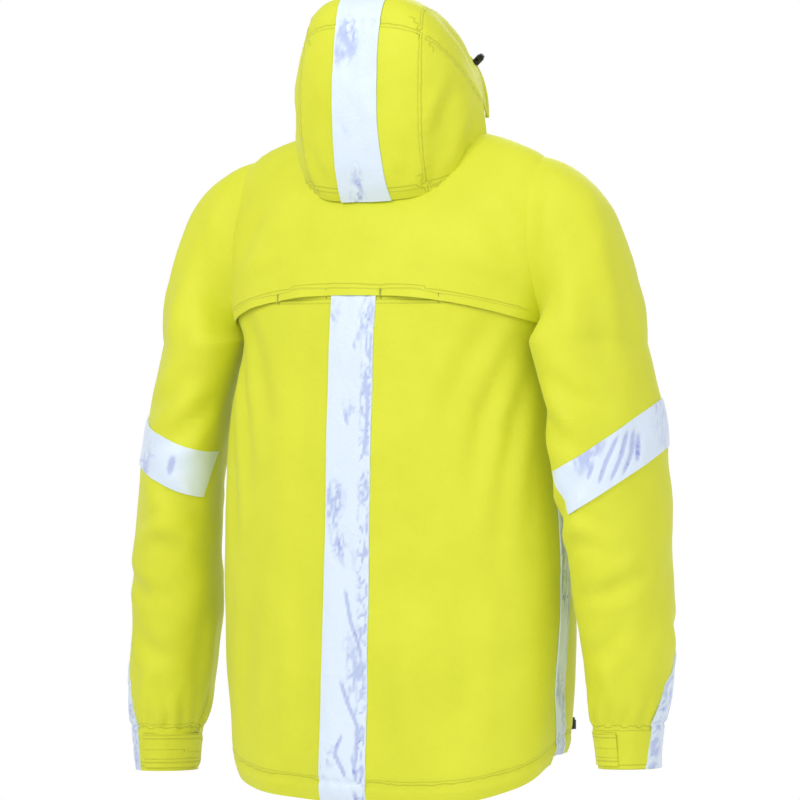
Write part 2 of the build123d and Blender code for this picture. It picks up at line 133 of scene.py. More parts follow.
def table(rows, key):
    """Columns of a table at any keys, on a smooth curve that doesn't overshoot."""
    x = rows[:, 0]
    key = np.clip(key, x[0], x[-1])
    i = np.clip(np.searchsorted(x, key) - 1, 0, len(x) - 2)
    h = np.diff(x)
    slope = np.diff(rows[:, 1:], axis=0) / h[:, None]
    tangent = np.zeros_like(rows[:, 1:])
    a, b = slope[:-1], slope[1:]
    same = a * b > 0
    tangent[1:-1] = np.where(same, 2 * a * b / np.where(same, a + b, 1), 0)
    tangent[0], tangent[-1] = slope[0], slope[-1]
    t = ((key - x[i]) / h[i])[..., None]
    hh = h[i][..., None]
    return ((2 * t**3 - 3 * t**2 + 1) * rows[i, 1:] + (t**3 - 2 * t**2 + t) * hh * tangent[i]
            + (-2 * t**3 + 3 * t**2) * rows[i + 1, 1:] + (t**3 - t**2) * hh * tangent[i + 1])


def body_point(turn, height):
    """A point of the body, turned from the wearer's left towards the back."""
    half, back, front = np.moveaxis(table(BODY, height), -1, 0)
    depth = np.where(np.sin(turn) >= 0, back, front)
    return np.stack([half * spow(np.cos(turn), 2 / FULLNESS), depth * spow(np.sin(turn), 2 / FULLNESS),
                     height + 0 * turn], -1)


# the hem's height along the depth of the body
HEM_CURVE = np.array([
    (-170, 58), (-60, 60), (0, 56), (40, 44), (80, 27), (115, 13), (145, 4), (168, 0)], float)
HEM_TILT = 0.045    # the hem hangs a little lower on the wearer's right


def hem_line(x, y):
    return table(HEM_CURVE, y)[..., 0] + HEM_TILT * np.where(y > 0, x, 0)


def sleeve_point(turn, height):
    """A point of the left sleeve below the armpit."""
    cx, cy, narrow, wide, lean = np.moveaxis(table(SLEEVE, height), -1, 0)
    lean = np.radians(lean)
    u, v = narrow * np.cos(turn), wide * np.sin(turn)
    return np.stack([cx + u * np.cos(lean) - v * np.sin(lean), cy + u * np.sin(lean) + v * np.cos(lean),
                     height + 0 * turn], -1)


def body_half_depth(x, height):
    """How far the back and the front stand from the side seam plane at a place across the body."""
    half, back, front = np.moveaxis(table(BODY, height), -1, 0)
    inside = np.clip(1 - (np.minimum(x, half) / half) ** FULLNESS, 0, 1) ** (1 / FULLNESS)
    return back * inside, front * inside


def head_point(turn, angle):
    """A point of the left sleeve's head, in the fan of planes about the armpit."""
    near, far, half = np.moveaxis(table(HEAD, angle), -1, 0)
    lean = np.radians(angle)
    centre, radius = (far + near) / 2, (far - near) / 2
    spin = np.radians(20) * np.sin(lean)
    u = radius * np.cos(turn)
    v = half * np.sin(turn)
    along = centre + u * np.cos(spin) - v * np.sin(spin)
    across = 12 * np.sin(lean) + u * np.sin(spin) + v * np.cos(spin)
    across = across - 12 * np.exp(-((angle - 32) / 24) ** 2)
    # the sleeve starts just inside the body's cloth
    back, front = body_half_depth(ARMHOLE_X, ARMPIT_Z + along * np.cos(lean))
    inside = np.clip(across, -np.maximum(front - 4, 2), np.maximum(back - 4, 2))
    set_in = np.clip(1 - angle / 13, 0, 1) ** 0.7
    across = across + (inside - across) * set_in
    return np.stack([ARMHOLE_X + along * np.sin(lean), across, ARMPIT_Z + along * np.cos(lean)], -1)


def hood_point(angle, turn):
    reach, half, full = np.moveaxis(table(HOOD, angle), -1, 0)
    lean = np.radians(angle)
    out = reach * np.abs(np.cos(turn)) ** (2 / full)
    return np.stack([half * spow(np.sin(turn), 2 / full), HOOD_Y + out * np.cos(lean),
                     HOOD_Z + out * np.sin(lean)], -1)


def neck_point(turn, share):
    def ring(row):
        y, z, length, width, tilt = row
        lean = math.radians(tilt)
        along = length * spow(np.sin(turn), 2 / FULLNESS)
        return np.stack([width * spow(np.cos(turn), 2 / FULLNESS), y + along * math.cos(lean),
                         z + along * math.sin(lean)], -1)
    share = np.asarray(share)[..., None]
    return ring(NECK_LOW) * (1 - share) + ring(NECK_HIGH) * share


def even(lo, hi, curve, spacing):
    """Parameters from lo to hi that space a curve's points evenly."""
    fine = np.linspace(lo, hi, 2001)
    steps = np.linalg.norm(np.diff(curve(fine), axis=0), axis=1)
    run = np.concatenate([[0], np.cumsum(steps)])
    count = max(4, round(run[-1] / spacing))
    return np.interp(np.linspace(0, run[-1], count + 1), run, fine)


# ---------------------------------------------------------------- folds and crinkles
def normals_of(grid, closed):
    du = np.gradient(grid, axis=1)
    if closed:
        du = (np.roll(grid, -1, 1) - np.roll(grid, 1, 1)) / 2
    dv = np.gradient(grid, axis=0)
    n = np.cross(du, dv)
    return n / np.maximum(np.linalg.norm(n, axis=-1, keepdims=True), 1e-9)


def near_line(points, line):
    """Distance of points from a polyline, and how far along it they lie, in millimetres."""
    best = np.full(points.shape[:-1], 1e9)
    along = np.zeros(points.shape[:-1])
    run = 0.0
    for a, b in zip(line[:-1], line[1:]):
        d = b - a
        length = np.linalg.norm(d)
        if length < 1e-6:
            continue
        t = np.clip(((points - a) @ d) / length**2, 0, 1)
        dist = np.linalg.norm(points - (a + t[..., None] * d), axis=-1)
        closer = dist < best
        best = np.where(closer, dist, best)
        along = np.where(closer, run + t * length, along)
        run += length
    return best, along, run


def fold(points, line, width, depth):
    """Height of a soft fold along a line; it fades at both ends."""
    dist, along, run = near_line(points, np.asarray(line, float))
    fade = np.sin(np.pi * np.clip(along / run, 0.02, 0.98)) ** 0.8
    core = np.exp(-(dist / width) ** 2)
    skirt = 0.45 * np.exp(-((dist - 2.0 * width) / (0.9 * width)) ** 2)
    return depth * fade * (core - skirt)


def pucker(points, line, reach, depth, wave):
    """Small ripples where a seam draws the cloth in."""
    dist, along, run = near_line(points, np.asarray(line, float))
    wobble = np.sin(2 * np.pi * along / wave + 1.3 * np.sin(along / 37.0))
    ends = np.clip(np.minimum(along, run - along) / 10, 0, 1)
    return depth * ends * np.exp(-(dist / reach) ** 2) * (0.35 + 0.65 * wobble)


def rough(points, size, seed, stretch=(1, 1, 1)):
    """Smooth random heights between -1 and 1, at a size in millimetres."""
    flat = (points.reshape(-1, 3) / size * np.asarray(stretch)) + seed * 17.31
    values = np.fromiter((noise.noise(Vector(p)) for p in flat), float, len(flat))
    return values.reshape(points.shape[:-1])


def back_spot(x, height):
    half, back, _ = table(BODY, np.array(height, float))
    return np.array((x, back * max(0.0, 1 - (abs(x) / half) ** FULLNESS) ** (1 / FULLNESS), height))


def front_spot(x, height):
    half, _, front = table(BODY, np.array(height, float))
    return np.array((x, -front * max(0.0, 1 - (abs(x) / half) ** FULLNESS) ** (1 / FULLNESS), height))


def raglan(k, face):
    """The seam that runs from the neck to the armhole."""
    spots = ((74, 857), (104, 846), (138, 826), (166, 797), (188, 765), (204, 732), (212, 700))
    return [face(k * x, z) for x, z in spots]


# folds: the line each runs along, its width and its height; on the body by place across and height, both sides
BACK_FOLDS = (
    (((188, 640), (150, 560), (120, 470)), 15, -2.8), (((196, 600), (172, 500), (160, 380)), 13, -3.4),
    (((205, 560), (196, 430), (190, 300)), 12, -2.6), (((150, 300), (158, 180), (150, 60)), 16, -2.4),
    (((95, 260), (88, 150), (84, 40)), 18, 2.6), (((200, 700), (180, 735), (150, 765)), 13, -2.2),
    (((202, 672), (170, 690), (120, 715)), 12, 2.0), (((60, 610), (70, 480), (66, 330)), 20, -1.6))
FRONT_FOLDS = (
    (((190, 640), (140, 560), (60, 480)), 15, -3.0), (((195, 560), (150, 470), (90, 400)), 13, -2.4),
    (((30, 560), (36, 400), (30, 220)), 12, 1.8), (((90, 330), (80, 220), (84, 90)), 18, -2.4))
# on the sleeve by degrees round it and height, and on its head by place
SLEEVE_FOLDS = (
    (((100, 560), (60, 520), (20, 500)), 12, -3.0), (((130, 520), (90, 470), (40, 440)), 12, -3.2),
    (((60, 420), (100, 380), (150, 350)), 11, -3.4), (((30, 330), (80, 352), (140, 330)), 10, 3.0),
    (((10, 300), (60, 270), (120, 262)), 11, -3.0), (((50, 230), (90, 190), (130, 180)), 12, -2.6),
    (((200, 560), (240, 500), (280, 470)), 12, -3.0), (((190, 420), (240, 390), (290, 400)), 11, -3.2),
    (((200, 320), (250, 290), (300, 300)), 10, -3.0), (((-20, 240), (-60, 200), (-100, 190)), 12, -2.6),
    (((170, 250), (175, 190), (180, 130)), 12, 2.2), (((90, 180), (84, 140), (80, 110)), 9, 2.4))
SLEEVE_HEAD_FOLDS = (
    (((216, 60, 800), (222, 74, 740), (214, 76, 660)), 12, -3.0),
    (((262, 50, 790), (290, 66, 720), (300, 72, 640)), 16, -2.0),
    (((240, 86, 700), (262, 100, 640), (276, 104, 580)), 13, -2.6),
    (((320, 40, 700), (336, 44, 620), (344, 30, 540)), 15, 2.0),
    (((216, -58, 790), (222, -70, 720), (214, -70, 650)), 12, -3.0),
    (((270, -44, 770), (296, -58, 690), (300, -60, 610)), 15, -2.4))
# on the hood by its angle and degrees round it, both sides
HOOD_FOLDS = (
    (((-8, 40), (10, 50), (30, 60)), 10, -2.6), (((-24, 48), (0, 62), (22, 70)), 10, 2.6),
    (((52, 40), (60, 55), (70, 66)), 10, -2.4), (((70, 20), (78, 40), (86, 56)), 9, -2.0),
    (((-28, 20), (-18, 30), (-4, 34)), 9, 2.2))


def body_relief(p):
    """How far the worn cloth of the body stands off its cut shape."""
    x, y, z = p[..., 0], p[..., 1], p[..., 2]
    turn = np.arctan2(y, x)
    low = np.clip((430 - z) / 380, 0, 1)
    h = 3.2 * low * np.sin(9 * turn + 0.9 + 0.4 * np.sin(z / 90)) * (0.6 + 0.4 * np.sin(turn * 4 + 2))
    h += 1.6 * rough(p, 95, 1) + 0.9 * rough(p, 38, 2, (1, 1, 0.55))
    for k in (1, -1):
        for line, width, depth in BACK_FOLDS:
            h += fold(p, [back_spot(k * a, b) for a, b in line], width, depth)
        for face in (back_spot, front_spot):
            h += pucker(p, raglan(k, face), 11, 1.0, 17)
        for line, width, depth in FRONT_FOLDS:
            h += fold(p, [front_spot(k * a, b) for a, b in line], width, depth)
    # hem channel: a flat band with small gathers over its stitching
    over_hem = z - hem_line(x, y)
    h += 0.9 * np.exp(-((over_hem - HEM_CHANNEL) / 7) ** 2) * np.sin(turn * 62 + 2 * np.sin(turn * 7)) * 0.8
    h -= 1.5 * np.exp(-((over_hem - HEM_CHANNEL) / 3.5) ** 2)
    h -= 3.0 * np.clip(1 - over_hem / HEM_CHANNEL, 0, 1) ** 2
    # the pocket zips hold the cloth flat
    beside = np.exp(-((np.abs(x) - POCKET_X) / 22) ** 2) * (y < 0)
    over = np.clip((z - POCKET_LOW + 30) / 25, 0, 1) * np.clip((POCKET_HIGH + 30 - z) / 25, 0, 1)
    return h * (1 - 0.9 * beside * over)


def sleeve_spot(degrees, height):
    return sleeve_point(np.radians(float(degrees)), np.array(float(height)))


def sleeve_relief(p):
    """The same for the left sleeve; p is in the left sleeve's place."""
    x, y, z = p[..., 0], p[..., 1], p[..., 2]
    h = 1.5 * rough(p, 80, 5) + 1.0 * rough(p, 34, 6, (1, 1, 0.7))
    cuff = np.clip((150 - z) / 60, 0, 1) * np.clip((z - 88) / 12, 0, 1)
    around = np.arctan2(y + 2, x - 335)
    h += 2.6 * cuff * np.sin(around * 15 + 0.8 * np.sin(z / 9)) * (0.7 + 0.3 * np.sin(around * 4))
    for line, width, depth in SLEEVE_FOLDS:
        h += fold(p, [sleeve_spot(a, b) for a, b in line], width, depth)
    for line, width, depth in SLEEVE_HEAD_FOLDS:
        h += fold(p, line, width, depth)
    h -= 1.6 * np.exp(-((z - CUFF_SEAM_Z) / 3.0) ** 2)
    return h


def hood_spot(k, angle, turn):
    """A point of the hood, turned in degrees towards the wearer's left for k 1."""
    return hood_point(np.array(float(angle)), np.radians(k * float(turn)))


def hood_relief(p):
    """The same for the hood, gathered at its nape and puckered at its seams."""
    h = 1.6 * rough(p, 70, 9) + 0.8 * rough(p, 28, 10)
    for k in (1, -1):
        for line, width, depth in HOOD_FOLDS:
            h += fold(p, [hood_spot(k, a, b) for a, b in line], width, depth)
        h += pucker(p, [hood_spot(k, a, HOOD_SEAM_TURN) for a in range(-28, 97, 6)], 8, 0.9, 15)
        h += pucker(p, [hood_spot(k, -26, t) for t in range(22, 60, 4)], 13, 2.0, 12)
    h += pucker(p, [hood_spot(1, 40, t) for t in range(-78, 79, 6)], 7, 0.9, 16)
    crown = np.array([hood_spot(1, 40, t) for t in range(-80, 81, 4)])
    h -= 1.2 * np.exp(-(near_line(p, crown)[0] / 2.5) ** 2)
    return h


def collar_relief(p):
    return 0.9 * rough(p, 40, 31) + 0.5 * rough(p, 16, 32)


# ---------------------------------------------------------------- making meshes
SEAM_REACH = 16.0       # the seam distances are kept up to this far from a seam


def mark_seams(mesh, grid, closed, seams):
    """Stores each point's signed distance from its nearest seam, the length along it, and if it is near."""
    p = grid.reshape(-1, 3)
    n = normals_of(grid, closed).reshape(-1, 3)
    store = np.zeros((len(p), 3), np.float32)
    store[:, 0] = 99
    for line in seams:
        line = np.asarray(line, float)
        dist, along, _ = near_line(p, line)
        closer = dist < np.abs(store[:, 0])
        ends = np.concatenate([[0], np.cumsum(np.linalg.norm(np.diff(line, axis=0), axis=1))])
        part = np.clip(np.searchsorted(ends, along) - 1, 0, len(line) - 2)
        direction = line[part + 1] - line[part]
        side = np.sign(np.einsum("ij,ij->i", np.cross(direction, p - line[part]), n))
        store[closer, 0] = (dist * side)[closer]
        store[closer, 1] = along[closer]
    store[:, 2] = (np.abs(store[:, 0]) < SEAM_REACH).astype(np.float32)
    attr = mesh.attributes.new("seam", "FLOAT_VECTOR", "POINT")
    attr.data.foreach_set("vector", store.ravel())


def cloth(name, grid, closed=False, keep=None, seams=(), *, slot):
    """A mesh from a grid of points in millimetres; its UV map holds lengths along the cloth in metres."""
    rows, cols = grid.shape[:2]
    span = cols if closed else cols - 1
    mesh = bpy.data.meshes.new(name)
    quads = []
    for i in range(rows - 1):
        for j in range(span):
            j2 = (j + 1) % cols
            corners = [(i, j), (i, j2), (i + 1, j2), (i + 1, j)]
            face = [a * cols + b for a, b in corners if keep is None or keep[a, b]]
            if len(face) > 2:
                quads.append(face)
    mesh.from_pydata(place(grid.reshape(-1, 3)).tolist(), [], quads)
    obj = bpy.data.objects.new(name, mesh)
    bpy.context.scene.collection.objects.link(obj)
    # lengths along the cloth for its weave
    across = np.linalg.norm(np.diff(grid, axis=1), axis=-1)
    u = np.concatenate([np.zeros((rows, 1)), np.cumsum(across, 1)], 1)
    u -= u[:, cols // 2:cols // 2 + 1]
    v = np.concatenate([np.zeros((1, cols)), np.cumsum(np.linalg.norm(np.diff(grid, axis=0), axis=-1), 0)], 0)
    wrap = u[:, -1] + np.linalg.norm(grid[:, 0] - grid[:, -1], axis=-1)
    layer = mesh.uv_layers.new(name="cloth")
    data = np.zeros((len(mesh.loops), 2), np.float32)
    for poly in mesh.polygons:
        columns = [q % cols for q in poly.vertices]
        wraps = closed and max(columns) - min(columns) > 1
        for li in poly.loop_indices:
            vi = mesh.loops[li].vertex_index
            i, j = divmod(vi, cols)
            data[li] = (u[i, j] if not (wraps and j == 0) else wrap[i], v[i, j])
    layer.data.foreach_set("uv", (data * MM).ravel())
    if seams:
        mark_seams(mesh, grid, closed, seams)
    bm = bmesh.new()
    bm.from_mesh(mesh)
    loose = [v for v in bm.verts if not v.link_faces]
    bmesh.ops.delete(bm, geom=loose, context="VERTS")
    for f in bm.faces:
        f.smooth = True
    bm.to_mesh(mesh)
    bm.free()
    return obj


def finish_cloth(obj, material, thickness, inner=None):
    """Gives a sheet its finish, its thickness on its inner side, and a lining if it has one."""
    obj.data.materials.append(material)
    bpy.ops.object.select_all(action="DESELECT")
    obj.select_set(True)
    bpy.context.view_layer.objects.active = obj
    solid = obj.modifiers.new("thickness", "SOLIDIFY")
    solid.thickness = thickness * MM
    solid.offset = -1
    solid.use_even_offset = False
    if inner is not None:
        obj.data.materials.append(inner)
        solid.material_offset = 1
    bpy.ops.object.modifier_apply(modifier=solid.name)
    bpy.ops.object.shade_smooth_by_angle(angle=math.radians(50))


def solid_piece(bm, name, finish):
    """Makes an object of a mesh that is already closed, and frees the working mesh."""
    bmesh.ops.recalc_face_normals(bm, faces=bm.faces)
    mesh = bpy.data.meshes.new(name)
    bm.to_mesh(mesh)
    bm.free()
    mesh.materials.append(finish)
    obj = bpy.data.objects.new(name, mesh)
    bpy.context.scene.collection.objects.link(obj)
    return obj


def mirrored(grid):
    """The same cloth on the wearer's right, still facing outwards."""
    flipped = grid * np.array((-1.0, 1.0, 1.0))
    return flipped[:, ::-1]


# ---------------------------------------------------------------- materials
def linear(code):
    """A #RRGGBB colour as linear light."""
    parts = [int(code[i:i + 2], 16) / 255 for i in (1, 3, 5)]
    return [c / 12.92 if c <= 0.04045 else ((c + 0.055) / 1.055) ** 2.4 for c in parts] + [1.0]


def node(tree, kind, settings=None, inputs=None):
    """Adds one node; an input is a value or a socket to link from."""
    made = tree.nodes.new(kind)
    for key, value in (settings or {}).items():
        setattr(made, key, value)
    for key, value in (inputs or {}).items():
        if isinstance(value, bpy.types.NodeSocket):
            tree.links.new(value, made.inputs[key])
        else:
            made.inputs[key].default_value = value
    return made


def material(name):
    """A new material with its tree and its main shader."""
    made = bpy.data.materials.new(name)
    made.use_nodes = True
    return made, made.node_tree, made.node_tree.nodes["Principled BSDF"]


def seam_marks(tree):
    """1 on a seam's fold, and 1 on its stitches, from the seam distances the cloth carries."""
    seam = node(tree, "ShaderNodeAttribute", {"attribute_name": "seam"})
    parts = node(tree, "ShaderNodeSeparateXYZ", inputs={0: seam.outputs["Vector"]})
    dist = node(tree, "ShaderNodeMath", {"operation": "ABSOLUTE"}, {0: parts.outputs[0]})
    near = node(tree, "ShaderNodeMath", {"operation": "GREATER_THAN"}, {0: parts.outputs[2], 1: 0.92})
    line = node(tree, "ShaderNodeMapRange", {"interpolation_type": "SMOOTHSTEP"},
                {0: dist.outputs[0], 1: 0.2, 2: 1.5, 3: 1.0, 4: 0.0})
    line = node(tree, "ShaderNodeMath", {"operation": "MULTIPLY"}, {0: line.outputs[0], 1: near.outputs[0]})
    # a row of lockstitch 5 mm to one side of the fold, 3.2 mm a stitch
    off = node(tree, "ShaderNodeMath", {"operation": "SUBTRACT"}, {0: parts.outputs[0], 1: 5.0})
    off = node(tree, "ShaderNodeMath", {"operation": "ABSOLUTE"}, {0: off.outputs[0]})
    row = node(tree, "ShaderNodeMapRange", {"interpolation_type": "SMOOTHSTEP"},
               {0: off.outputs[0], 1: 0.3, 2: 0.9, 3: 1.0, 4: 0.0})
    step = node(tree, "ShaderNodeMath", {"operation": "DIVIDE"}, {0: parts.outputs[1], 1: 3.2})
    step = node(tree, "ShaderNodeMath", {"operation": "FRACT"}, {0: step.outputs[0]})
    dash = node(tree, "ShaderNodeMath", {"operation": "LESS_THAN"}, {0: step.outputs[0], 1: 0.72})
    stitch = node(tree, "ShaderNodeMath", {"operation": "MULTIPLY"},
                  {0: row.outputs[0], 1: dash.outputs[0]})
    stitch = node(tree, "ShaderNodeMath", {"operation": "MULTIPLY"},
                  {0: stitch.outputs[0], 1: near.outputs[0]})
    return line.outputs[0], stitch.outputs[0]


THREAD_DRAWN = 0.0011       # metres between threads: the real 0.2 mm is too fine to show
WAVE_TURN = 3.18            # bands of a wave texture in one unit of its scale


def coated_nylon(colour):
    """Coated nylon taffeta: a fine plain weave under a matt film, so it is soft in gloss and even in colour."""
    made, tree, bsdf = material("coated_nylon_taffeta")
    place_at = node(tree, "ShaderNodeTexCoord")
    # the shade drifts over about 110 mm
    cloudy = node(tree, "ShaderNodeTexNoise", inputs={"Vector": place_at.outputs["Object"], "Scale": 9.0,
                                                      "Detail": 4.0, "Roughness": 0.55})
    shade = node(tree, "ShaderNodeMapRange",
                 inputs={0: cloudy.outputs["Fac"], 1: 0.3, 2: 0.7, 3: 0.0, 4: 1.0})
    base = node(tree, "ShaderNodeMix", {"data_type": "RGBA"}, {"Factor": shade.outputs[0]})
    base.inputs[6].default_value = colour
    base.inputs[7].default_value = linear("#D8DD33")
    line, stitch = seam_marks(tree)
    # painted shade: the fold of each seam is darkened towards #A9AE2E, as shade would fall in its sunk groove
    painted_seam_shade = node(tree, "ShaderNodeMath", {"operation": "MULTIPLY"}, {0: line, 1: 0.34})
    seam_shaded = node(tree, "ShaderNodeMix", {"data_type": "RGBA"},
                  {"Factor": painted_seam_shade.outputs[0], 6: base.outputs[2]})
    seam_shaded.inputs[7].default_value = linear("#A9AE2E")
    thread = node(tree, "ShaderNodeMath", {"operation": "MULTIPLY"}, {0: stitch, 1: 0.6})
    sewn = node(tree, "ShaderNodeMix", {"data_type": "RGBA"},
                {"Factor": thread.outputs[0], 6: seam_shaded.outputs[2]})
    sewn.inputs[7].default_value = linear("#C6CC3C")
    tree.links.new(sewn.outputs[2], bsdf.inputs["Base Color"])
    uv = node(tree, "ShaderNodeUVMap", {"uv_map": "cloth"})
    threads = {"Vector": uv.outputs[0], "Scale": 1 / THREAD_DRAWN / WAVE_TURN}
    warp = node(tree, "ShaderNodeTexWave", {"wave_type": "BANDS", "bands_direction": "X"}, threads)
    weft = node(tree, "ShaderNodeTexWave", {"wave_type": "BANDS", "bands_direction": "Y"}, threads)
    weave = node(tree, "ShaderNodeMath", {"operation": "MAXIMUM"},
                 {0: warp.outputs["Fac"], 1: weft.outputs["Fac"]})
    fine = node(tree, "ShaderNodeBump",
                inputs={"Strength": 0.22, "Distance": 0.00025, "Height": weave.outputs[0]})
    # crumples about 24 mm across
    crumple = node(tree, "ShaderNodeTexNoise", inputs={"Vector": place_at.outputs["Object"], "Scale": 42.0,
                                                       "Detail": 5.0, "Roughness": 0.6})
    soft = node(tree, "ShaderNodeBump", inputs={"Strength": 0.30, "Distance": 0.0035,
                                                "Height": crumple.outputs["Fac"], "Normal": fine.outputs[0]})
    dip = node(tree, "ShaderNodeMath", {"operation": "SUBTRACT"}, {0: stitch, 1: line})
    sunk = node(tree, "ShaderNodeBump",
                inputs={"Strength": 0.7, "Distance": 0.0009, "Height": dip.outputs[0],
                                                "Normal": soft.outputs[0]})
    tree.links.new(sunk.outputs[0], bsdf.inputs["Normal"])
    bsdf.inputs["Roughness"].default_value = 0.62
    bsdf.inputs["IOR"].default_value = 1.5
    bsdf.inputs["Specular IOR Level"].default_value = 0.35
    bsdf.inputs["Sheen Weight"].default_value = 0.12
    bsdf.inputs["Sheen Roughness"].default_value = 0.4
    return made


def reflective_film(colour):
    """Glass-bead reflective film on cloth: a pale satin face with painted lavender shade in its creases."""
    made, tree, bsdf = material("glass_bead_reflective_film")
    crease = node(tree, "ShaderNodeAttribute", {"attribute_name": "crease"})
    place_at = node(tree, "ShaderNodeTexCoord")
    # crinkles about 18 mm long
    streak = node(tree, "ShaderNodeTexNoise", inputs={"Vector": place_at.outputs["Object"], "Scale": 55.0,
                                                      "Detail": 6.0, "Roughness": 0.65, "Distortion": 1.2})
    thin = node(tree, "ShaderNodeMapRange", {"interpolation_type": "SMOOTHSTEP"},
                {0: streak.outputs["Fac"], 1: 0.56, 2: 0.70, 3: 0.0, 4: 0.55})
    deep = node(tree, "ShaderNodeMapRange", {"interpolation_type": "SMOOTHSTEP"},
                {0: crease.outputs["Fac"], 1: 0.12, 2: 0.75, 3: 0.0, 4: 1.0})
    # painted lavender shade: fine streaks show only where the tape is creased, over a broad shade on each crease
    crease_streak_shade = node(tree, "ShaderNodeMath", {"operation": "MULTIPLY"},
                   {0: thin.outputs[0], 1: deep.outputs[0]})
    broad_crease_shade = node(tree, "ShaderNodeMath", {"operation": "MULTIPLY"}, {0: deep.outputs[0], 1: 0.55})
    painted_crease_shade = node(tree, "ShaderNodeMath", {"operation": "ADD", "use_clamp": True},
                 {0: crease_streak_shade.outputs[0], 1: broad_crease_shade.outputs[0]})
    # the film's colour goes towards lavender by the painted crease shade
    base = node(tree, "ShaderNodeMix", {"data_type": "RGBA"}, {"Factor": painted_crease_shade.outputs[0]})
    base.inputs[6].default_value = colour
    base.inputs[7].default_value = linear("#8F9BDC")
    tree.links.new(base.outputs[2], bsdf.inputs["Base Color"])
    # beads drawn 1.1 mm across: the real 0.05 mm is too fine to show
    grain = node(tree, "ShaderNodeTexNoise", inputs={"Vector": place_at.outputs["Object"], "Scale": 900.0,
                                                     "Detail": 2.0})
    beads = node(tree, "ShaderNodeBump", inputs={"Strength": 0.15, "Distance": 0.0002,
                                                 "Height": grain.outputs["Fac"]})
    crinkle = node(tree, "ShaderNodeBump", inputs={"Strength": 0.6, "Distance": 0.002,
                                                   "Height": streak.outputs["Fac"], "Normal": beads.outputs[0]})
    tree.links.new(crinkle.outputs[0], bsdf.inputs["Normal"])
    bsdf.inputs["Roughness"].default_value = 0.42
    bsdf.inputs["Specular IOR Level"].default_value = 0.5
    return made


def plain_cloth(name, code, roughness, thread):
    """Woven or knitted cloth with its threads drawn at a real spacing in metres."""
    made, tree, bsdf = material(name)
    place_at = node(tree, "ShaderNodeTexCoord")
    cells = node(tree, "ShaderNodeTexVoronoi",
                 inputs={"Vector": place_at.outputs["Object"], "Scale": 1 / thread})
    tone = node(tree, "ShaderNodeMapRange",
                inputs={0: cells.outputs["Distance"], 1: 0.0, 2: 0.8, 3: 0.0, 4: 1.0})
    base = node(tree, "ShaderNodeMix", {"data_type": "RGBA"}, {"Factor": tone.outputs[0]})
    rgb = linear(code)
    base.inputs[6].default_value = rgb
    base.inputs[7].default_value = [c * 0.55 for c in rgb[:3]] + [1.0]
    tree.links.new(base.outputs[2], bsdf.inputs["Base Color"])
    bump = node(tree, "ShaderNodeBump", inputs={"Strength": 0.5, "Distance": thread * 0.3,
                                                "Height": cells.outputs["Distance"]})
    tree.links.new(bump.outputs[0], bsdf.inputs["Normal"])
    bsdf.inputs["Roughness"].default_value = roughness
    bsdf.inputs["Sheen Weight"].default_value = 0.2
    return made


def moulded(name, code, roughness):
    """Moulded acetal or enamelled zinc: near even, with faint mould grain and softly rubbed edges."""
    made, tree, bsdf = material(name)
    place_at = node(tree, "ShaderNodeTexCoord")
    # mould grain 0.7 mm across, and rubbed patches of 6 mm
    grain = node(tree, "ShaderNodeTexNoise", inputs={"Vector": place_at.outputs["Object"], "Scale": 1400.0,
                                                     "Detail": 3.0})
    rub = node(tree, "ShaderNodeTexNoise", inputs={"Vector": place_at.outputs["Object"], "Scale": 160.0})
    tone = node(tree, "ShaderNodeMapRange", inputs={0: rub.outputs["Fac"], 1: 0.4, 2: 0.75, 3: 0.0, 4: 1.0})
    base = node(tree, "ShaderNodeMix", {"data_type": "RGBA"}, {"Factor": tone.outputs[0]})
    rgb = linear(code)
    base.inputs[6].default_value = rgb
    base.inputs[7].default_value = [min(1, c * 1.8 + 0.01) for c in rgb[:3]] + [1.0]
    tree.links.new(base.outputs[2], bsdf.inputs["Base Color"])
    bump = node(tree, "ShaderNodeBump", inputs={"Strength": 0.25, "Distance": 0.00015,
                                                "Height": grain.outputs["Fac"]})
    tree.links.new(bump.outputs[0], bsdf.inputs["Normal"])
    bsdf.inputs["Roughness"].default_value = roughness
    return made


FINISH = {}         # the materials by what they cover, filled by the first operator


# ---------------------------------------------------------------- settings
class JacketSizes(PropertyGroup):
    shell: FloatProperty(name="Shell thickness", description="Shell cloth with its lining film",
                         default=2.2 * MM, min=0.0005, max=0.005, subtype="DISTANCE")
    relief: FloatProperty(name="Fold depth", description="How deep the worn folds are, as a share",
                          default=1.6, min=0.0, max=2.0, subtype="FACTOR")
    back_tape: FloatProperty(name="Back tape width", description="Width of the reflective tape down the back",
                             default=63 * MM, min=0.02, max=0.1, subtype="DISTANCE")
    side_tape: FloatProperty(name="Side tape width", description="Width of the reflective side tapes",
                             default=28 * MM, min=0.01, max=0.08, subtype="DISTANCE")
    elbow_tape: FloatProperty(name="Elbow tape width", description="Width of the reflective elbow tapes",
                              default=56 * MM, min=0.02, max=0.08, subtype="DISTANCE")
    tooth_pitch: FloatProperty(name="Zip tooth pitch", description="Distance from one zip tooth to the next",
                               default=3.4 * MM, min=0.002, max=0.006, subtype="DISTANCE")


class JacketColours(PropertyGroup):
    shell: FloatVectorProperty(name="Shell", description="Colour of the coated shell cloth", subtype="COLOR",
                               size=4, min=0, max=1, default=linear("#DFE43A"))
    film: FloatVectorProperty(name="Film", description="Colour of the reflective tape where it lies flat",
                              subtype="COLOR", size=4, min=0, max=1, default=linear("#DFECFC"))


# ---------------------------------------------------------------- cut pieces as grids
BODY_COLS = even(0, 2 * math.pi, lambda t: body_point(t, np.full_like(t, 330.0)), 6.6)[:-1]


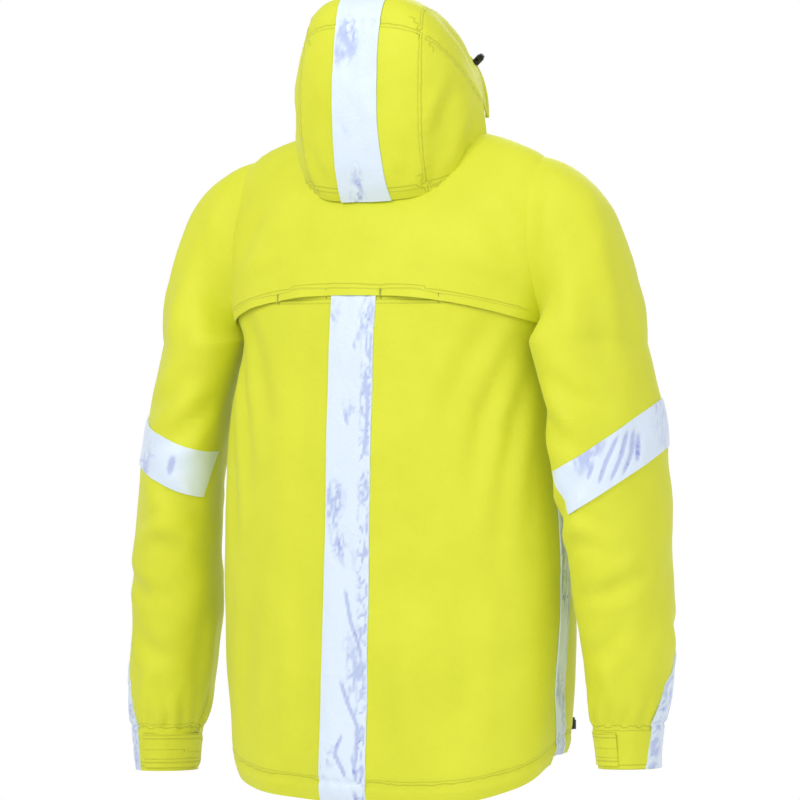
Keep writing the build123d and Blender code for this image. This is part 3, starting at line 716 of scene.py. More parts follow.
def body_rows(spacing=6.4):
    """Heights up the body, even along the back's centre line and over the shoulder."""
    def profile(z):
        half, back, front = np.moveaxis(table(BODY, z), -1, 0)
        return np.stack([half * 0.8, back, z], -1)
    return even(0.0, SHOULDER_Z, profile, spacing)


def relieved(grid, closed, relief, share, lift=0.0):
    """Moves a cut surface out by its folds and by a lift."""
    n = normals_of(grid, closed)
    return grid + n * (relief(grid) * share + lift)[..., None]


def body_grid(share, turns, heights):
    """The body's worn surface on a grid; each column starts at the curved hem."""
    t, z = np.meshgrid(turns, heights)
    flat = body_point(t, z)
    hem = hem_line(flat[..., 0], flat[..., 1])
    z = hem + (z / SHOULDER_Z) * (SHOULDER_Z - hem)
    # the body is narrower at the new heights, so the hem is found once more
    flat = body_point(t, z)
    hem = hem_line(flat[..., 0], flat[..., 1])
    return relieved(body_point(t, np.maximum(z, hem)), True, body_relief, share)


def snapped(value, target, reach):
    """Moves values that lie within reach of a target onto it, so that a cut runs straight."""
    return np.where(np.abs(value - target) < reach, target, value)


def in_sleeve(points, clear, size):
    """Which points of the body lie inside the mouth of a sleeve."""
    x, y, z = points[..., 0], points[..., 1], points[..., 2]
    round_mouth = ((z - ARMPIT_Z - 123) / 118) ** 2 + (y / 64) ** 2
    return (np.abs(x) > ARMHOLE_X + clear) & (z > ARMPIT_Z + 4) & (round_mouth < size)


def hung(grid, k):
    """A left sleeve's grid, moved as that side hangs: the left cuff lower and further out than the right."""
    low = np.clip((430 - grid[..., 2:3]) / 390, 0, 1)
    cuff = np.clip((240 - grid[..., 2:3]) / 150, 0, 1) ** 1.5
    drop, out = (-10, 5) if k > 0 else (8, -5)
    return grid + low * np.array((0, 0, drop)) + cuff * np.array((out, 9, 0))


def sleeve_grid(share, spacing=6.2):
    """The left sleeve from the cuff to the armhole, and the row where its two lengths meet."""
    turns = even(0, 2 * math.pi, lambda t: sleeve_point(t, np.full_like(t, 420.0)), spacing)[:-1]
    angles = np.linspace(0.0, 90.0, 40)[:-1]
    heights = even(590.0, 38.0, lambda z: np.stack([0 * z, 0 * z, z], -1), spacing)
    head = head_point(*np.meshgrid(turns, angles))
    tube = sleeve_point(*np.meshgrid(turns, heights))
    grid = np.concatenate([head, tube], 0)[::-1]
    join = int(np.argmin(np.abs(grid[:len(heights), 0, 2] - SLEEVE_JOIN_Z)))
    return relieved(grid, True, sleeve_relief, share), join


def yoke_edge(x):
    """Height of the yoke's lower edge across the back."""
    return YOKE_EDGE_Z - YOKE_DROP * (np.abs(x) / YOKE_HALF) ** 2.4


def in_neck(points):
    """Which points lie inside the foot of the collar."""
    x, y, z = points[..., 0], points[..., 1], points[..., 2]
    return (z > 792) & (((x / 76) ** 2 + ((y + 33) / 83) ** 2) < 1)


# ---------------------------------------------------------------- operators
class JACKET_OT_finishes(Operator):
    """Makes the jacket's materials"""
    bl_idname = "jacket.finishes"
    bl_label = "Finishes"

    def execute(self, context):
        colours = context.scene.jacket_colours
        FINISH["shell"] = coated_nylon(colours.shell)
        FINISH["film"] = reflective_film(colours.film)
        FINISH["lining"] = plain_cloth("knitted_mesh_lining", "#C9CDB0", 0.9, 0.0016)
        FINISH["pocket"] = plain_cloth("brushed_tricot", "#8E9270", 0.9, 0.0012)
        FINISH["webbing"] = plain_cloth("woven_polyester_braid", "#1C1C1F", 0.8, 0.0009)
        FINISH["thread"] = plain_cloth("polyester_thread", "#C2C83E", 0.7, 0.0006)
        FINISH["zip_tape"] = plain_cloth("woven_zip_tape", "#202023", 0.85, 0.0008)
        FINISH["acetal"] = moulded("moulded_acetal", "#161618", 0.45)
        FINISH["enamel"] = moulded("enamelled_zinc", "#1A1A1C", 0.32)
        return {"FINISHED"}


class JACKET_OT_body(Operator):
    """Makes the back, sides and shoulders"""
    bl_idname = "jacket.body"
    bl_label = "Body"

    def execute(self, context):
        sizes = context.scene.jacket_sizes
        heights = body_rows()
        grid = body_grid(sizes.relief, BODY_COLS, heights)
        x, y, z = grid[..., 0], grid[..., 1], grid[..., 2]
        ahead, low = y < 0, z < CHEST_Z + 4
        x[...] = np.where(ahead & low, np.sign(x) * snapped(np.abs(x), DOOR_X, SNAP), x)
        z[...] = np.where(ahead & (np.abs(x) < DOOR_X + 1), snapped(z, CHEST_Z, SNAP), z)
        x[...] = np.where(ahead & ~low, np.sign(x) * snapped(np.abs(x), ZIP_EDGE, SNAP), x)
        door = (np.abs(x) < DOOR_X - 0.1) & ahead & (z < CHEST_Z - 0.1)
        arm = in_sleeve(grid, 3, 0.86)
        slot = (np.abs(x) < ZIP_EDGE - 0.1) & ahead
        keep = ~(door | arm | slot | in_neck(grid))
        seams = [[back_spot(x0, YOKE_SEAM_Z) for x0 in range(-205, 206, 10)]]
        seams += [raglan(k, face) for k in (1, -1) for face in (back_spot, front_spot)]
        seams += [[front_spot(k * DOOR_X, h) for h in range(60, 610, 25)] for k in (1, -1)]
        seams += [[front_spot(k * w, CHEST_Z) for w in range(10, 206, 12)] for k in (1, -1)]
        turns = np.linspace(0, 2 * math.pi, 180)
        ring = body_point(turns, np.full_like(turns, 60.0))
        seams.append(body_point(turns, hem_line(ring[:, 0], ring[:, 1]) + HEM_CHANNEL))
        shell = cloth("body_shell", grid, True, keep, slot="shell_cloth", seams=seams)
        finish_cloth(shell, FINISH["shell"], sizes.shell / MM, FINISH["lining"])
        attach(shell, "body")
        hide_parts("back_panel", "front_yoke_left", "front_yoke_right", "side_panel_left",
                    "side_panel_right")
        return {"FINISHED"}


class JACKET_OT_lining(Operator):
    """Makes the mesh lining that hangs inside the back"""
    bl_idname = "jacket.lining"
    bl_label = "Back lining"

    def execute(self, context):
        sizes = context.scene.jacket_sizes
        turns = BODY_COLS[(BODY_COLS > 0.35) & (BODY_COLS < math.pi - 0.35)][::2]
        t, z = np.meshgrid(turns, np.arange(74, 756, 12.0))
        inside = np.full_like(z, -7.0)
        grid = relieved(body_point(t, z), False, body_relief, sizes.relief, inside)
        piece = cloth("back_lining_cloth", grid[:, ::-1], slot="lining_mesh")
        finish_cloth(piece, FINISH["lining"], 0.8)
        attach(piece, "body")
        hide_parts("back_lining")
        return {"FINISHED"}


class JACKET_OT_fronts(Operator):
    """Makes the two front panels"""
    bl_idname = "jacket.fronts"
    bl_label = "Front panels"

    def execute(self, context):
        sizes = context.scene.jacket_sizes
        for side, k in SIDES:
            # columns run from the zip edge to past the side seam, straight up the front
            x, z = np.meshgrid(np.linspace(ZIP_EDGE, DOOR_X + TUCK, FRONT_COLUMNS),
                               np.linspace(FRONT_HEM_Z, CHEST_Z + TUCK, FRONT_ROWS))
            half = table(BODY, z)[..., 0]
            grid = body_point(-np.arccos(np.clip(x / half, 0, 1) ** (FULLNESS / 2)), z)
            if k < 0:
                grid = mirrored(grid)
            under = np.maximum(np.abs(grid[..., 0]) - DOOR_X, grid[..., 2] - CHEST_Z)
            sunk = -SUNK * np.clip((under + 5) / 6, 0, 1)
            grid = relieved(grid, False, body_relief, sizes.relief, sunk)
            seams = [[front_spot(k * 15.5, h) for h in range(58, 602, 25)],
                     [front_spot(k * w, 84) for w in range(9, 190, 12)],
                     [front_spot(k * w, CHEST_Z) for w in range(10, 190, 12)]]
            for edge in (114, 142):
                seams.append([front_spot(k * edge, h) for h in range(172, 360, 15)])
            panel = cloth(f"front_cloth_{side}", grid, seams=seams, slot="shell_cloth")
            finish_cloth(panel, FINISH["shell"], sizes.shell / MM, FINISH["lining"])
            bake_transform(panel)
            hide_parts(f"front_panel_{side}")
        return {"FINISHED"}


class JACKET_OT_yoke(Operator):
    """Makes the back yoke, whose lower edge stands off the back as a vent"""
    bl_idname = "jacket.yoke"
    bl_label = "Vented back yoke"

    def execute(self, context):
        sizes = context.scene.jacket_sizes
        turns = BODY_COLS[(BODY_COLS > 0.03) & (BODY_COLS < math.pi - 0.03)]
        heights = np.concatenate([np.linspace(0, 60, 14)[:-1], np.linspace(60, 222, 28)])
        t, up = np.meshgrid(turns, heights)
        x = body_point(t, np.full_like(t, YOKE_EDGE_Z))[..., 0]
        edge = yoke_edge(x)
        z = edge + up * (YOKE_TOP_Z - edge) / up.max()
        grid = body_point(t, z)
        lift = 2.6 * np.clip(1 - (z - edge) / 90, 0, 1) + 0.9
        # between its tacks the edge gapes a little: place across, width and height of each bulge
        gap = np.min(np.abs(grid[..., 0:1] - np.array(TACKS)), axis=-1)
        low = np.clip(1 - (z - edge) / 38, 0, 1) ** 1.5
        gape = 1.8 * np.clip(gap / 39, 0, 1)
        for middle, wide, high in ((-78, 30, 3.2), (82, 26, 2.2), (165, 24, 1.2)):
            gape += high * np.exp(-((grid[..., 0] - middle) / wide) ** 2)
        lift += low * (gape - 1.6 * np.exp(-(gap / 6) ** 2))
        worn = relieved(grid, False, body_relief, sizes.relief) + normals_of(grid, False) * lift[..., None]
        stitching = [back_spot(x0, yoke_edge(x0) + 14) + np.array((0, 2, 0)) for x0 in range(-205, 206, 8)]
        keep = ~(in_sleeve(worn, 5, 0.80) | in_neck(worn))
        flap = cloth("back_yoke_cloth", worn, False, keep, slot="shell_cloth", seams=[stitching])
        finish_cloth(flap, FINISH["shell"], 1.6)
        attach(flap, "body")
        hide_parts("back_yoke")
        # the tacks that hold the edge down
        bm = bmesh.new()
        for x0 in TACKS:
            base = back_spot(x0, yoke_edge(x0) + 3)
            for j in range(9):
                at = Vector(place(base + np.array((0, 2.6, -5.0 + j * 1.35))))
                turned = bmesh.ops.create_uvsphere(bm, u_segments=8, v_segments=5, radius=1.25 * MM)
                for v in turned["verts"]:
                    v.co = Vector((v.co.x * 1.25, v.co.y * 0.62, v.co.z * 0.75)) + at
        for face in bm.faces:
            face.smooth = True
        tack = solid_piece(bm, "yoke_bar_tacks", FINISH["thread"])
        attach(tack, "body")
        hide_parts("vent_bar_tacks")
        return {"FINISHED"}


class JACKET_OT_sleeves(Operator):
    """Makes both sleeves, each in an upper and a lower piece"""
    bl_idname = "jacket.sleeves"
    bl_label = "Sleeves"

    def execute(self, context):
        sizes = context.scene.jacket_sizes
        grid, join = sleeve_grid(sizes.relief)
        cuff_seam = [sleeve_spot(d, 94) for d in range(0, 361, 8)]
        under = [sleeve_spot(188, h) for h in range(40, 590, 25)]
        hem = [sleeve_spot(d, 44) for d in range(0, 361, 8)]
        for side, k in SIDES:
            turned = hung(grid, k)
            if k < 0:
                turned = mirrored(turned)
            flip = np.array((k, 1, 1))
            seams = [hung(np.asarray(line), k) * flip for line in (cuff_seam, under, hem)]
            pieces = (("sleeve_low_cloth", turned[:join + 1], (f"sleeve_upper_{side}", f"sleeve_lower_{side}"),
                       (spot(k * 312, 16, 468), spot(k * 318, 16, 322)),
                       ("sleeve_elbow", "sleeve_lower", "sleeve_cuff")),
                      ("sleeve_high_cloth", turned[join:], ("body", f"sleeve_upper_{side}"),
                       (spot(k * 205, 0, 604), spot(k * 272, 0, 537)), ("sleeve_head", "sleeve_upper")))
            for name, part, bodies, ends, nodes in pieces:
                piece = cloth(f"{name}_{side}", part, True, seams=seams, slot="shell_cloth")
                finish_cloth(piece, FINISH["shell"], sizes.shell / MM * 0.9, FINISH["lining"])
                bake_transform(piece)
                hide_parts(*(f"{n}_{side}" for n in nodes))
        return {"FINISHED"}


class JACKET_OT_hood(Operator):
    """Makes the hood, gathered at its nape and open at the face"""
    bl_idname = "jacket.hood"
    bl_label = "Hood"

    def execute(self, context):
        sizes = context.scene.jacket_sizes
        limit = math.radians(82)
        turns = even(-limit, limit, lambda t: hood_point(np.full_like(t, 30.0), t), 5.6)[::-1]
        angles = even(-31, 100, lambda a: hood_point(a, np.full_like(a, 0.3)), 5.6)
        t, a = np.meshgrid(turns, angles)
        grid = relieved(hood_point(a, t), False, hood_relief, sizes.relief)
        seams = [[hood_spot(k, a, HOOD_SEAM_TURN) for a in range(-28, 97, 5)] for k in (1, -1)]
        for angle, reach in ((40, 80), (95.5, 80), (-25, 60)):
            seams.append([hood_spot(1, angle, t) for t in range(-reach, reach + 1, 4)])
        shell = cloth("hood_shell", grid, seams=seams, slot="shell_cloth")
        finish_cloth(shell, FINISH["shell"], sizes.shell / MM, FINISH["lining"])
        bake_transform(shell)
        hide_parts("hood_nape", "hood_crown_centre", "hood_crown_left", "hood_crown_right")
        # a bound edge round the face
        rim = np.array([hood_spot(1, 100, t) for t in np.linspace(82, -82, 70)]) + np.array((0, 1.0, 0))
        bound = round_edge("hood_face_binding", rim, 2.6, FINISH["shell"])
        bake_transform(bound)
        return {"FINISHED"}


def round_edge(name, line, radius, finish, sides=10):
    """A round edge along a line, closed at both ends."""
    tangent = np.gradient(line, axis=0)
    tangent /= np.linalg.norm(tangent, axis=1, keepdims=True)
    side = np.cross(tangent, (0.0, 1.0, 0.0))
    side /= np.linalg.norm(side, axis=1, keepdims=True)
    other = np.cross(side, tangent)
    a = np.linspace(0, 2 * math.pi, sides, endpoint=False)[None, :, None]
    grid = place(line[:, None] + (side[:, None] * np.cos(a) + other[:, None] * np.sin(a)) * radius)
    bm = bmesh.new()
    rings = [[bm.verts.new(co) for co in ring] for ring in grid]
    for one, two in zip(rings, rings[1:]):
        for j in range(sides):
            bm.faces.new((one[j], one[(j + 1) % sides], two[(j + 1) % sides], two[j]))
    bm.faces.new(rings[0])
    bm.faces.new(rings[-1])
    for face in bm.faces:
        face.smooth = True
    bm.loops.layers.uv.new("cloth")
    return solid_piece(bm, name, finish)


def crinkled(flat, relief, share, seed, slant, lift=2.3, depth=1.0, marks=(), side=0.0, spread=-0.1):
    """A tape's grid lifted off the worn cloth, with sharp creases; also gives how creased each point is.

    Fine crinkles lie in patches, more of them for a higher spread, and along one edge where side is not 0.
    Marks are long folds drawn where they lie, by share across and length up the tape.
    """
    cols = flat.shape[1]
    across = np.linspace(-0.5, 0.5, cols)[None, :] * np.linalg.norm(flat[0, -1] - flat[0, 0])
    steps = np.linalg.norm(np.diff(flat[:, cols // 2], axis=0), axis=1)
    u, v = np.broadcast_arrays(across, np.concatenate([[0], np.cumsum(steps)])[:, None])
    width = np.abs(across).max() * 2

    def spots(wide, long, lean=0.0):
        return np.stack([(u + lean * v) / wide, v / long, 0 * u], -1)

    gathered = np.clip((side * u / width - 0.16) / 0.16, 0, 1) if side else 0 * u
    patch = np.clip(spread + 1.9 * rough(spots(34, 60), 1.0, seed + 7), 0, 1)
    crease = np.zeros(u.shape)
    # size across and along, lean, sharpness and weight of three sets of creases
    for k, (wide, long, lean, sharp, weight) in enumerate((
            (15, 70, slant, 4.5, 0.8), (8, 26, -0.6 * slant, 4.0, 0.9), (11, 16, 1.6, 4.5, 0.7))):
        line = 1 - np.clip(np.abs(rough(spots(wide, long, lean * 0.22), 1.0, seed + k)) * sharp, 0, 1)
        crease = np.maximum(crease, weight * line * np.maximum(patch, gathered if k else 0))
    edge = np.clip((np.abs(across) / np.abs(across).max() - 0.9) / 0.1, 0, 1)
    crease = crease * (1 - 0.5 * edge)
    for mark in marks:
        line = np.array([(a * width, b, 0.0) for a, b in mark])
        dist, run, whole = near_line(spots(1, 1), line)
        fade = np.clip(np.minimum(run, whole - run) / 12, 0, 1)
        crease = np.maximum(crease, fade * np.exp(-(dist / 2.4) ** 2))
    bumps = 0.7 * rough(spots(14, 30), 1.0, seed + 20) + 0.8 * gathered * rough(spots(7, 12), 1.0, seed + 21)
    stand = np.maximum(lift + depth * (bumps * (1 - edge) - 1.3 * crease), 1.1)
    return relieved(flat, False, lambda p: relief(p) * share + stand, 1.0), crease


def tape(name, worn, crease, nodes, thickness=2.0):
    """A reflective tape on its worn grid, which carries how creased it is for the painted crease shade of its
    finish.
    """
    piece = cloth(name, worn, slot="reflective_tape")
    attr = piece.data.attributes.new("crease", "FLOAT", "POINT")
    attr.data.foreach_set("value", crease.ravel().astype(np.float32))
    finish_cloth(piece, FINISH["film"], thickness)
    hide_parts(*nodes)
    return piece


def hung_tape(worn, crease, k):
    """A left sleeve's tape as it hangs on either side."""
    worn = hung(worn, k)
    return (worn, crease) if k > 0 else (mirrored(worn), crease[:, ::-1])


# folds of the back tape: share across it towards the wearer's right, height above its low end
BACK_TAPE_FOLDS = (
    ((-0.03, 278), (0.12, 233), (0.30, 205), (0.40, 180)), ((-0.10, 161), (0.10, 126), (0.30, 99), (0.30, 45)),
    ((0.02, 92), (-0.14, 63), (0.14, 28)), ((0.05, 596), (0.12, 575)), ((-0.14, 508), (0.0, 478)),
    ((0.34, 560), (0.42, 500), (0.36, 440)), ((0.20, 66), (0.34, 22)))


# elbow tapes: degrees round the sleeve to the rear end, then a tilted plane of heights: its height at x0, y0, its
# climb outwards and fall backwards; and how much taller than wide the tape lies on it
ELBOW_TAPES = {"left": (142, 421, 0.45, 256, 0.05, 55, 1.1), "right": (96, 394, 0.57, 272, 0.32, 95, 1.195)}
ELBOW_START = -120
ELBOW_TAPE_FOLDS = {
    "left": (((0.02, 8), (-0.03, 40)), ((0.30, 12), (0.27, 48))),
    "right": (((0.22, 4), (0.15, 30), (0.10, 60)), ((0.16, 2), (0.10, 26), (0.07, 56)),
              ((0.28, 10), (0.22, 34), (0.14, 62)), ((0.08, 6), (0.05, 48)), ((0.32, 24), (0.26, 50)))}

# cuff tapes: the rear edge in degrees round the sleeve by height, how far each side's is turned from that, the
# front edge, and the furthest that keeps clear of the cuff tab's root
CUFF_TAPE_EDGE = (38, 55, 100, 148, 190), (37, 33, 24, 12, -34)
CUFF_TAPE_TURN = {"left": (38, -60), "right": (-8, -88)}
CUFF_TAPE_END = 66
BACK_TAPE_TOP = 655
SIDE_TAPE_LOW, SIDE_TAPE_TOP = 58.5, 560
CUFF_TAPE_LOW, CUFF_TAPE_TOP = 38.5, 190


class JACKET_OT_tapes(Operator):
    """Makes the reflective tapes of the back, sides, hood, elbows and cuffs"""
    bl_idname = "jacket.tapes"
    bl_label = "Reflective tapes"

    def execute(self, context):
        sizes = context.scene.jacket_sizes
        share = sizes.relief
        # down the back
        half = sizes.back_tape / MM / 2
        heights = np.arange(0.6, BACK_TAPE_TOP, 3.2)
        x, z = np.meshgrid(np.linspace(half, -half, 22), heights)
        hw, back, _ = np.moveaxis(table(BODY, z), -1, 0)
        flat = np.stack([x, back * (1 - (np.abs(x) / hw) ** FULLNESS) ** (1 / FULLNESS), z], -1)
        worn, crease = crinkled(flat, body_relief, share, 3, 1.0, side=1.0, marks=BACK_TAPE_FOLDS)
        strip = tape("back_reflective_tape", worn, crease, ["back_tape"])
        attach(strip, "body")
        # down both sides
        for side, k in SIDES:
            wide = sizes.side_tape / MM
            heights = np.arange(SIDE_TAPE_LOW, SIDE_TAPE_TOP, 3.6)
            share_y, z = np.meshgrid(np.linspace(0, 1, 16), heights)
            # near the hem the tape runs forward
            drift = -24 * np.clip((140 - z) / 80, 0, 1)
            y = -wide / 3 + share_y * wide + drift
            hw, back, front = np.moveaxis(table(BODY, z), -1, 0)
            depth = np.where(y >= 0, back, front)
            flat = np.stack([hw * (1 - (np.abs(y) / depth) ** FULLNESS) ** (1 / FULLNESS), y, z], -1)
            if k < 0:
                flat = mirrored(flat)
            worn, crease = crinkled(flat, body_relief, share, 5 + k, 0.8, depth=1.4, spread=0.9)
            strip = tape(f"side_reflective_tape_{side}", worn, crease, [f"side_tape_{side}"])
            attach(strip, "body")
        # over the hood, a little wider at the nape
        angles = even(-31, 97, lambda a: hood_point(a, np.full_like(a, 0.0)), 3.2)
        x, a = np.meshgrid(np.linspace(half, -half, 22), angles)
        x = x * (1 + 0.12 * np.clip((8 - a) / 39, 0, 1))
        _, hw, full = np.moveaxis(table(HOOD, a), -1, 0)
        t = np.arcsin(spow(x / hw, full / 2))
        worn, crease = crinkled(hood_point(a, t), hood_relief, share, 11, 0.9)
        strip = tape("hood_reflective_tape", worn, crease, ["hood_tape_nape", "hood_tape_crown"])
        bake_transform(strip)
        # round the elbows and down the outside of the cuffs
        for side, k in SIDES:
            last, middle, climb, x0, back_fall, y0, stretch = ELBOW_TAPES[side]
            narrow = sizes.elbow_tape / MM / 2
            t, w = np.meshgrid(np.radians(np.linspace(ELBOW_START, last, 78)),
                               np.linspace(-narrow, narrow, 19))
            # the rear end is cut square to the tape, which climbs
            t = t + w / narrow * np.radians(9) * np.clip((t - 0.5) / 1.0, 0, 1)
            # heights that agree with where the sleeve is at those heights are found by trying again
            z = np.full_like(t, 408.0)
            for _ in range(8):
                at = sleeve_point(t, z)
                z = middle + climb * (at[..., 0] - x0) - back_fall * (at[..., 1] - y0) + w * stretch
            worn, crease = crinkled(sleeve_point(t, z), sleeve_relief, share, 15 + k, 0.5,
                                    marks=ELBOW_TAPE_FOLDS[side])
            worn, crease = hung_tape(worn, crease, k)
            strip = tape(f"elbow_reflective_tape_{side}", worn, crease, [f"elbow_tape_{side}"])
            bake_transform(strip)
            z = np.linspace(CUFF_TAPE_LOW, CUFF_TAPE_TOP, 52)
            turn, front = CUFF_TAPE_TURN[side]
            rear = np.radians(np.minimum(np.interp(z, *CUFF_TAPE_EDGE) + turn, CUFF_TAPE_END))
            share_t, zz = np.meshgrid(np.linspace(0, 1, 22), z)
            start = math.radians(front)
            tt = start + share_t * (rear[:, None] - start)
            worn, crease = crinkled(sleeve_point(tt, zz), sleeve_relief, share, 25 + k, 1.2, depth=1.3,
                                    side=1.0, spread=0.3)
            worn, crease = hung_tape(worn, crease, k)
            strip = tape(f"cuff_reflective_tape_{side}", worn, crease, [f"cuff_tape_{side}"])
            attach(strip, f"sleeve_lower_{side}")
        return {"FINISHED"}


class JACKET_OT_collar(Operator):
    """Makes the standing collar inside the hood"""
    bl_idname = "jacket.collar"
    bl_label = "Collar"

    def execute(self, context):
        sizes = context.scene.jacket_sizes
        gap = math.radians(6.2)
        turns = even(-math.pi / 2 + gap, 1.5 * math.pi - gap,
                     lambda t: neck_point(t, np.full_like(t, 0.5)), 5.0)
        flat = neck_point(*np.meshgrid(turns, np.linspace(0, 1, 26)))
        grid = relieved(flat, False, collar_relief, sizes.relief)
        seams = [[neck_point(np.array(a), np.array(up)) for a in turns[::3]] for up in (0.955, 0.30)]
        collar = cloth("collar_stand", grid, seams=seams, slot="collar_cloth")
        finish_cloth(collar, FINISH["shell"], 3.0, FINISH["pocket"])
        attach(collar, "body")
        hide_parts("collar")
        return {"FINISHED"}


class JACKET_OT_cuff_tabs(Operator):
    """Makes the hook and loop tabs at the cuffs"""
    bl_idname = "jacket.cuff_tabs"
    bl_label = "Cuff tabs"

    def execute(self, context):
        for side, k in SIDES:
            rows, cols = 15, 40
            share = np.linspace(0, 1, cols)
            t, z = np.meshgrid(np.radians(80 + share * 118), np.linspace(43, 86, rows))
            flat = sleeve_point(t, z)
            off = 2.4 + 0.5 * np.sin(share * 9)[None, :] + 1.6 * share[None, :] ** 3
            flat = flat + normals_of(flat, False) * off[..., None]
            # the free end is cut to a soft corner
            middle = flat[rows // 2:rows // 2 + 1]
            ends = np.clip((share - 0.90) / 0.10, 0, 1)[None, :, None]
            flat = hung(middle + (flat - middle) * (1 - 0.30 * ends**2), k)
            grid = flat if k > 0 else mirrored(flat)
            seams = [grid[2][::3], grid[rows - 3][::3]]
            tab = cloth(f"cuff_tab_cloth_{side}", grid, seams=seams, slot="shell_cloth")
            finish_cloth(tab, FINISH["shell"], 2.0, FINISH["acetal"])
            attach(tab, f"cuff_tab_{side}")
            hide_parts(f"cuff_tab_{side}")
        return {"FINISHED"}


def zip_y(z):
    """Depth of the zip's chain at a height."""
    return ZIP_INSET + ZIP_LOW[0] + (z - ZIP_LOW[1]) / (ZIP_HIGH[1] - ZIP_LOW[1]) * (ZIP_HIGH[0] - ZIP_LOW[0])


class JACKET_OT_zips(Operator):
    """Makes the front zip's tapes and teeth"""
    bl_idname = "jacket.zips"
    bl_label = "Front zip"

    def execute(self, context):
        pitch = context.scene.jacket_sizes.tooth_pitch / MM
        for side, k in SIDES:
            for part, low, high in (("lower", 72, 599.6), ("upper", 600.4, 866)):
                heights = np.arange(low, high, 5.0)
                x, z = np.meshgrid(np.linspace(2.2, 14, 7), heights)
                flat = np.stack([x, zip_y(z) + 0.075 * np.sin(z / 1.7), z], -1)
                band = cloth(f"zip_{part}_tape_{side}", flat if k > 0 else mirrored(flat), slot="zip_chain")
                finish_cloth(band, FINISH["zip_tape"], 0.9)
                bm = bmesh.new()
                shift = 0.0 if k > 0 else pitch / 2
                for z0 in np.arange(low + 2 + shift, high - 1, pitch):
                    for v in bmesh.ops.create_cube(bm, size=1.0)["verts"]:
                        nose = v.co.x < 0
                        at = (v.co.x * 4.2 + 1.4, v.co.y * (2.6 if nose else 2.0) + zip_y(z0),
                              v.co.z * (1.5 if nose else 2.0) + z0)
                        v.co = Vector(place(np.array(at) * (k, 1, 1)))
                bmesh.ops.bevel(bm, geom=list(bm.edges), offset=0.32 * MM, segments=1, affect="EDGES")
                teeth = solid_piece(bm, f"zip_{part}_teeth_{side}", FINISH["acetal"])
                for piece in (band, teeth):
                    if part == "lower":
                        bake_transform(piece)
                    else:
                        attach(piece, "body")
                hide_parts(f"zip_chain_{part}_{side}")
        return {"FINISHED"}


def on_pocket(points, k):
    """Points about a pocket zip's middle, where -Y looks out of the cloth, to the jacket's place."""
    low, high = (front_spot(POCKET_X, z)[1] for z in (POCKET_LOW, POCKET_HIGH))
    lean = math.atan2(high - low, POCKET_HIGH - POCKET_LOW)
    turn = Matrix.Rotation(-lean, 3, "X") @ Matrix.Rotation(math.radians(POCKET_TURN), 3, "Z")
    at = np.asarray(points, float) @ np.array(turn).T
    at = at + (POCKET_X, (low + high) / 2, (POCKET_LOW + POCKET_HIGH) / 2)
    return at * (k, 1, 1)


# the bag's middle from the zip's, its turn about its upright and its size
BAG_PLACE, BAG_TURN = (-32.7, 16.4, -6), -5.8
BAG_WIDE, BAG_TALL = 118, 190
COIL_PITCH = 2.4


class JACKET_OT_pockets(Operator):
    """Makes the pocket zips and the bags behind them"""
    bl_idname = "jacket.pockets"
    bl_label = "Pockets"

    def execute(self, context):
        tall = POCKET_HIGH - POCKET_LOW
        for side, k in SIDES:
            # woven tape 20 mm wide, sewn over the cut in the cloth
            x, z = np.meshgrid(np.linspace(-10, 10, 9), np.linspace(-tall / 2 - 3, tall / 2 + 3, 60))
            flat = on_pocket(np.stack([x, -1.15 - 0.25 * np.sin(z / 7) * (np.abs(x) / 10) ** 2, z], -1), k)
            band = cloth(f"pocket_zip_tape_{side}", flat if k > 0 else flat[:, ::-1], slot="zip_chain")
            finish_cloth(band, FINISH["zip_tape"], 0.8)
            # a coil, whose turns stand a little to either side in turn
            bm = bmesh.new()
            for i, z0 in enumerate(np.arange(-tall / 2 + 5, tall / 2 - 5, COIL_PITCH)):
                for v in bmesh.ops.create_cube(bm, size=1.0)["verts"]:
                    at = (v.co.x * 4.4 + (0.3 if i % 2 else -0.3), v.co.y * 1.5 - 2.15, v.co.z * 1.7 + z0)
                    v.co = Vector(place(on_pocket(at, k)))
            bmesh.ops.bevel(bm, geom=list(bm.edges), offset=0.3 * MM, segments=1, affect="EDGES")
            coil = solid_piece(bm, f"pocket_zip_coil_{side}", FINISH["acetal"])
            for piece in (band, coil):
                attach(piece, f"front_{side}")
            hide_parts(f"pocket_zip_{side}")
            # the bag is two layers sewn round the edge, soft in the middle
            t, level = np.meshgrid(np.linspace(0, 2 * math.pi, 96, endpoint=False), np.linspace(-1, 1, 64))
            full = np.clip(1 - np.abs(level) ** 8, 0, 1) ** (1 / 8)
            across = spow(np.cos(t), 2 / 5) * BAG_WIDE / 2 * (0.93 + 0.07 * full)
            deep = spow(np.sin(t), 0.9) * 5.0 * np.clip(full, 0.12, 1)
            deep = deep + 0.9 * np.sin(across / 17 + level * 3)
            turned = math.radians(BAG_TURN)
            points = np.stack([across * math.cos(turned) - deep * math.sin(turned),
                               across * math.sin(turned) + deep * math.cos(turned), level * BAG_TALL / 2], -1)
            points = on_pocket(points + BAG_PLACE, k)
            bag = cloth(f"pocket_bag_cloth_{side}", points if k > 0 else points[:, ::-1], True,
                        slot="lining_mesh")
            closed = bmesh.new()
            closed.from_mesh(bag.data)
            bmesh.ops.holes_fill(closed, edges=[e for e in closed.edges if e.is_boundary], sides=0)
            bmesh.ops.recalc_face_normals(closed, faces=closed.faces)
            closed.to_mesh(bag.data)
            closed.free()
            bag.data.materials.append(FINISH["pocket"])
            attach(bag, f"front_{side}")
            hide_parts(f"pocket_bag_{side}")
        return {"FINISHED"}


